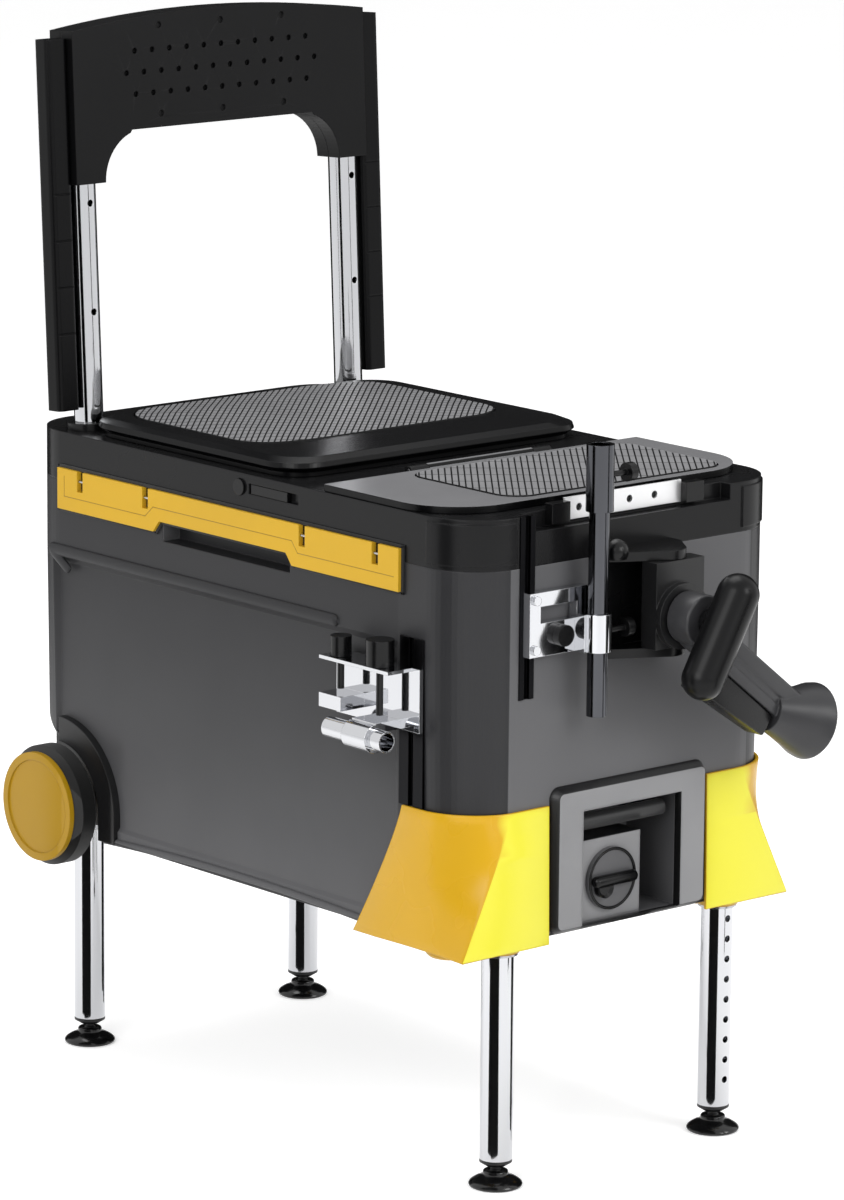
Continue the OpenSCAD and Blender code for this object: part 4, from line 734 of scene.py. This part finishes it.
# The black ring on the dial's face is painted shade of its groove; it, the finger bar and the
# dished thumb rest beside the bar are one black moulding.
shade_ring_r, shade_ring_thick_r, shade_ring_out = 0.0256, 0.0013, 0.0002
bar_half, bar_r, bar_out = 0.0245, 0.0052, 0.003
thumb_x, thumb_z, thumb_r, thumb_t, thumb_out = 0.012, 0.006, 0.0085, 0.006, 0.0028
thumb_rim, thumb_dish = 0.0025, 0.002
bpy.ops.object.select_all(action="DESELECT")
bpy.ops.mesh.primitive_torus_add(major_segments=dial_sides, minor_segments=10,
                                 major_radius=shade_ring_r, minor_radius=shade_ring_thick_r,
                                 location=(lock_x, dial_front + shade_ring_out, lock_z),
                                 rotation=(math.pi / 2, 0, 0))
shade_ring = bpy.context.object
freeze()
bar = capsule((lock_x - bar_half, dial_front - bar_out, lock_z),
              (lock_x + bar_half, dial_front - bar_out, lock_z), bar_r)
thumb = front_disc((lock_x - thumb_x, dial_front - thumb_out, lock_z - thumb_z), thumb_r,
                   thumb_t, vertices=32)
pick(thumb, lambda middle, normal: normal.y < -square_on)
bpy.ops.mesh.inset(thickness=thumb_rim, depth=-thumb_dish)
bpy.ops.object.mode_set(mode="OBJECT")
settle(joined([shade_ring, bar, thumb]), "lock_bar", black_abs, "lock_knob")
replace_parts(bpy.data.objects["lock_bar"], "lock_knob")

# --- Seat ring and latch ----------------------------------------------------------------------
# The deck that closes the tub, moulded from satin black ABS, with the press button and the
# sliding tab of the rear lid's latch.

# The ring's edges are painted much paler, as a painted highlight along its rounded edges.
satin_abs = moulded("satin_black_abs", "#131314", 0.26, 1.4, 0.02, 1.8, 3.0, shine=0.2)
dress(satin_abs, "seat_ring")
dress(black_abs, "latch_button", "latch_tab")

# --- Lids -------------------------------------------------------------------------------------
# Two hinged seat lids of black ABS on steel pins, and the ring's steel strip between its plastic
# end blocks. An embossed vinyl mat is let into each lid, with a rib grid at 45 degrees on the
# rear one and slanted ribs on the front one.

top_starts, top_full = 0.85, 0.95
lids_part, lids_blend, top_patch_lift = home.y - 0.08, 0.01, 1.3


def on_top(made, place):
    """1 on the faces that look upwards."""
    return add(made, "MapRange", {"From Min": top_starts, "From Max": top_full},
               {"Value": facing(made, 2)}).outputs[0]


def painted_sheen_top(made, place):
    """The lids' top faces, painted paler as a painted sheen, the front one more than the rear one,
    and paler still in patches at random.
    """
    cloud = add(made, "TexNoise", {"Scale": 16.0, "Detail": 4.0}, {"Vector": place}).outputs[0]
    along = add(made, "SeparateXYZ", links={0: place}).outputs[1]
    front = add(made, "MapRange", {"From Min": lids_part, "From Max": lids_part - lids_blend},
                {"Value": along}).outputs[0]
    tone = add(made, "Mix", {colour_a: linear("#121213"), colour_b: linear("#7b7b7d")},
               {mix_factor: front}, data_type="RGBA").outputs[2]
    sheen_and_wear = add(made, "HueSaturation", {"Value": top_patch_lift}, {"Color": tone}).outputs[0]
    return add(made, "Mix", links={mix_factor: cloud, colour_a: tone, colour_b: sheen_and_wear},
               data_type="RGBA").outputs[2]


# The lids' upward faces are painted grey as a painted sheen, the front lid's paler; their sides
# keep the black.
lid_abs = moulded("lid_abs", "#060607", 0.24, 1.2, 0.03, 1.2, 2.4,
                  patch=(painted_sheen_top, 0.27, on_top), shine=0.18)
dress(lid_abs, "rear_lid", "front_lid")
dress(zinc_steel, "hinge_pins")
dress(black_abs, "strip_blocks")
satin_steel = plated("satin_stainless_steel", "#f2f2f3", 0.42)
dress(satin_steel, "front_strip")

rib_starts, rib_full = 0.9, 0.99


def mat_vinyl():
    """Embossed vinyl mat: its steep rib sides painted dark as painted shade, its flat faces paler
    in patches.
    """
    made = blank("embossed_vinyl")
    place = add(made, "TexCoord").outputs["Object"]
    fine = add(made, "TexNoise", {"Scale": 1400.0, "Detail": 2.0}, {"Vector": place})
    patchy = add(made, "TexNoise", {"Scale": 22.0, "Detail": 3.0}, {"Vector": place})
    top = add(made, "Mix", {colour_a: linear("#7a7a7c"), colour_b: linear("#969698")},
              {mix_factor: patchy.outputs[0]}, data_type="RGBA")
    flat = add(made, "MapRange", {"From Min": rib_starts, "From Max": rib_full},
               {"Value": facing(made, 2)})
    # Faces that are not flat are painted dark as painted shade on the ribs' sides.
    tint = add(made, "Mix", {colour_a: linear("#19191a")},
               {mix_factor: flat.outputs[0], colour_b: top.outputs[2]}, data_type="RGBA")
    bump = add(made, "Bump", {"Strength": 0.4, "Distance": 0.00004}, {"Height": fine.outputs[0]})
    shade = add(made, "BsdfPrincipled", {"IOR": 1.53, "Roughness": 0.5, "Specular IOR Level": 0.3},
                {"Base Color": tint.outputs[2], "Normal": bump.outputs[0]})
    add(made, "OutputMaterial", links={"Surface": shade.outputs[0]})
    return made


mat_material = mat_vinyl()


def block_between(low, high):
    """A block between two corners, in metres."""
    low, high = Vector(low), Vector(high)
    bpy.ops.object.select_all(action="DESELECT")
    bpy.ops.mesh.primitive_cube_add(size=1, location=(low + high) / 2)
    block = bpy.context.object
    block.scale = high - low
    freeze()
    return block


def round_edges(block, test, radius, segments):
    """Rounds the edges of a block whose two ends pass a test."""
    bpy.ops.object.mode_set(mode="EDIT")
    bpy.ops.mesh.select_mode(type="EDGE")
    bpy.ops.mesh.select_all(action="DESELECT")
    bpy.ops.object.mode_set(mode="OBJECT")
    for edge in block.data.edges:
        edge.select = test(*(block.data.vertices[i].co for i in edge.vertices))
    bpy.ops.object.mode_set(mode="EDIT")
    bpy.ops.mesh.bevel(offset=radius, segments=segments, affect="EDGES")
    bpy.ops.object.mode_set(mode="OBJECT")


def cut_by(piece, tool, operation, solver):
    """Cuts a piece with a tool, which is used up."""
    cut = piece.modifiers.new("cut", "BOOLEAN")
    cut.operation, cut.solver, cut.object = operation, solver, tool
    alone(piece)
    bpy.ops.object.modifier_apply(modifier="cut")
    bpy.data.objects.remove(tool)


mat_groove, mat_emboss, mat_over, mat_trim = 0.0016, 0.0008, 1.05, 0.01


def embossed(low, high, thick, radius, turn, pitch, gap):
    """A mat between a pad's corners with raised ribs: cells of pitch metres, turned, inset and
    lifted one by one, and cut to a rounded outline."""
    x0, y0 = low.x + mat_groove, low.y + mat_groove
    x1, y1 = high.x - mat_groove, high.y - mat_groove
    bottom, top = high.z - thick, high.z
    span = mat_over * math.hypot(x1 - x0, y1 - y0)
    counts = [round(span / step) for step in pitch]
    bpy.ops.object.select_all(action="DESELECT")
    bpy.ops.mesh.primitive_grid_add(x_subdivisions=counts[0], y_subdivisions=counts[1], size=1,
                                    location=((x0 + x1) / 2, (y0 + y1) / 2, bottom),
                                    rotation=(0, 0, turn))
    sheet = bpy.context.object
    sheet.scale = (counts[0] * pitch[0], counts[1] * pitch[1], 1)
    freeze()
    bpy.ops.object.mode_set(mode="EDIT")
    bpy.ops.mesh.select_all(action="SELECT")
    bpy.ops.mesh.extrude_region_move(
        TRANSFORM_OT_translate={"value": (0, 0, top - mat_emboss - bottom)})
    bpy.ops.mesh.select_all(action="SELECT")
    bpy.ops.mesh.normals_make_consistent(inside=False)
    pick(sheet, lambda middle, normal: normal.z > square_on)
    bpy.ops.mesh.inset(thickness=gap, depth=mat_emboss, use_individual=True)
    bpy.ops.object.mode_set(mode="OBJECT")
    outline = block_between((x0, y0, bottom - mat_trim), (x1, y1, top + mat_trim))
    round_edges(outline, lambda a, b: abs(a.z - b.z) > mat_trim, radius, segments=20)
    cut_by(sheet, outline, "INTERSECT", "MANIFOLD")
    return sheet


# The ribs of both mats are drawn coarser than the photograph's.
pad_low, pad_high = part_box("rear_pad")
lid_low, lid_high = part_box("rear_lid")
rear_thick, rear_round, rear_turn = 0.0028, 0.0504, math.radians(45)
rear_pitch, rear_gap = (0.013, 0.0052), 0.00075
rear_mat = embossed(pad_low, pad_high, rear_thick, rear_round, rear_turn, rear_pitch, rear_gap)
# The rear lid's top falls towards its edges, and the mat follows it.
crown_in, crown_flat, crown_fall, lid_width = 0.0091, 0.0616, 0.0034, 0.34
for point in rear_mat.data.vertices:
    inset = min(point.co.x - lid_low.x, lid_low.x + lid_width - point.co.x,
                point.co.y - lid_low.y, lid_high.y - point.co.y)
    share = min(1, max(0, (crown_flat - inset) / (crown_flat - crown_in)))
    point.co.z -= crown_fall * share
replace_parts(settle(rear_mat, "rear_mat", mat_material, "rear_lid"), "rear_pad")

pad_low, pad_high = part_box("front_pad")
front_round, front_turn = 0.0224, math.radians(50)
front_pitch, front_gap = (0.03, 0.0055), 0.0007
front_mat = embossed(pad_low, pad_high, pad_high.z - pad_low.z, front_round, front_turn,
                     front_pitch, front_gap)
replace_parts(settle(front_mat, "front_mat", mat_material, "front_lid"),
            "front_pad")

# --- Backrest ---------------------------------------------------------------------------------
# A perforated black shell and its rear shell, cut out below in an arch with round corners, glossy
# side wings, and two chromed tubes that slide in sockets at the back of the box.

shell_plastic = moulded("satin_back_abs", "#0c0c0d", 0.36, 1.2, 0.03, 1.5, shine=0.15)
wing_abs = moulded("polished_wing_abs", "#060607", 0.24, 1.6, 0.015, 1.4, 2.6, shine=0.14)
dress(wing_abs, "back_wings")
dress(chrome, "back_tubes")
dress(black_abs, "back_sockets")
arch_half, arch_deep, arch_high, arch_round = 0.134, 0.1, 0.261, 0.044
back_y, back_z, back_lean = 243, 575, math.radians(3)
# Only what is flat is smoothed, because smoothing across the cut edges would streak the shells.
shell_smooth = 1
for name, part in (("back_front_shell", "front"), ("back_rear_shell", "rear")):
    shell = merged_copy(name, "shell")
    arch = block_between((-arch_half, -arch_deep / 2, 0), (arch_half, arch_deep / 2, arch_high))
    round_edges(arch, lambda a, b: abs(a.y - b.y) > arch_deep / 2 and a.z > arch_high / 2,
                arch_round, segments=16)
    arch.data.transform(Matrix.Translation(spot(0, back_y, back_z))
                        @ Matrix.Rotation(-back_lean, 4, "X"))
    cut_by(shell, arch, "DIFFERENCE", "EXACT")
    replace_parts(settle(shell, "arched_" + part + "_shell", shell_plastic, "backrest",
                       shell_smooth), name)

# --- Front accessory clamp --------------------------------------------------------------------
# A chromed frame bolted to the front rail, and a telescopic post of dark gunmetal tube in a
# collar, set by thumb screws.

dress(chrome, "clamp_frame", "clamp_bolts", "post_collar")
dress(black_abs, "clamp_knob", "collar_screw", "sleeve_screw")
gunmetal = plated("gunmetal_tube", "#55565a", 0.13)
dress(gunmetal, "post_tube", "post_sleeve")

# --- Rod rest ---------------------------------------------------------------------------------
# A swivel head in a black bracket, and the arm that carries the rod: a grey moulded beam with a
# groove and a flared cup, an olive insert, a dark block under it, and the head's locking handle.

dress(black_abs, "rod_bracket")
dress(cap_plastic, "rod_head")
arm_plastic = moulded("satin_grey_nylon", "#353537", 0.34, 1.2, 0.03, 2.0, shine=0.4)
# The arm's own frame has its origin in the arm's eye and runs down the arm with x.
arm_x, arm_y, arm_z, arm_slope = 16, -363.3, 482, math.radians(38)
arm_frame = Matrix.Translation(spot(arm_x, arm_y, arm_z)) @ Matrix.Rotation(arm_slope, 4, "Y")


def bar_between(low, high, soft, end_scale=1.0):
    """A block between two corners in mm of the arm's own frame, softened, its far end scaled."""
    low, high = Vector(low) / 1000, Vector(high) / 1000
    bar = block_between(low, high)
    pick(bar, lambda middle, normal: normal.x > square_on)
    bpy.ops.transform.resize(value=(1, 1, end_scale), center_override=(high.x, 0, high.z))
    bpy.ops.mesh.select_all(action="SELECT")
    bpy.ops.mesh.bevel(offset=soft / 1000, segments=3, affect="EDGES")
    bpy.ops.object.mode_set(mode="OBJECT")
    return bar


eye_r, eye_width, eye_soft = 0.022, 0.0256, 0.002
eye = front_disc((0, 0, 0), eye_r, eye_width, vertices=64)
pick(eye, lambda middle, normal: abs(normal.y) > square_on)
bpy.ops.mesh.bevel(offset=eye_soft, segments=3, affect="EDGES")
bpy.ops.object.mode_set(mode="OBJECT")
cup_profile = [(0, 0), (17, 0), (19, 8), (22.5, 20), (28, 36), (32, 46), (33.2, 52), (32.4, 53),
               (30.6, 52), (28.5, 46), (24, 34), (19, 22), (15, 12), (0, 10)]
cup_along, cup_drop, cup_tilt = 0.122, 0.019, math.radians(70)
cup = lathed(cup_profile, Vector((0, 0, 0)))
cup.data.transform(Matrix.Translation((cup_along, 0, -cup_drop))
                   @ Matrix.Rotation(cup_tilt, 4, "Y"))
beam_core = bar_between((0, -11, -21), (150, 11, 7), 2)
beam_top = bar_between((6, -13, -7), (150, 13, 8), 3)
beam_rib = bar_between((6, -12.6, -22), (146, 12.6, -12), 2.5)
arm = joined([eye, cup, beam_core, beam_top, beam_rib])
arm.data.transform(arm_frame)
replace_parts(settle(arm, "ribbed_arm", arm_plastic, "rod_arm"), "rod_arm")

block = bar_between((30, -11, -50), (122, 11, -22.6), 2, 0.72)
block.data.transform(arm_frame)
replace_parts(settle(block, "under_block", black_abs, "rod_arm"), "rod_block")

olive_plastic = moulded("olive_tpu_insert", "#6f7022", 0.5, 1.2, 0.03, 0.6, 1.2)
insert = bar_between((126, -14.2, -21), (140, -10, -8), 1.6)
insert.data.transform(arm_frame)
settle(insert, "arm_insert", olive_plastic, "rod_arm")

handle_plastic = moulded("soft_touch_nylon", "#0c0c0d", 0.28, 1.1, 0.03, 1.0, shine=0.2)
dress(handle_plastic, "lock_handle")

# --- Side clamp -------------------------------------------------------------------------------
# A chromed steel bracket with a jaw, clamped to the side rail by the screws of two black plastic
# hand knobs. It holds an open chromed tube.

dress(chrome, "side_bracket", "side_tube")
dress(black_abs, "side_knob_front", "side_knob_rear")
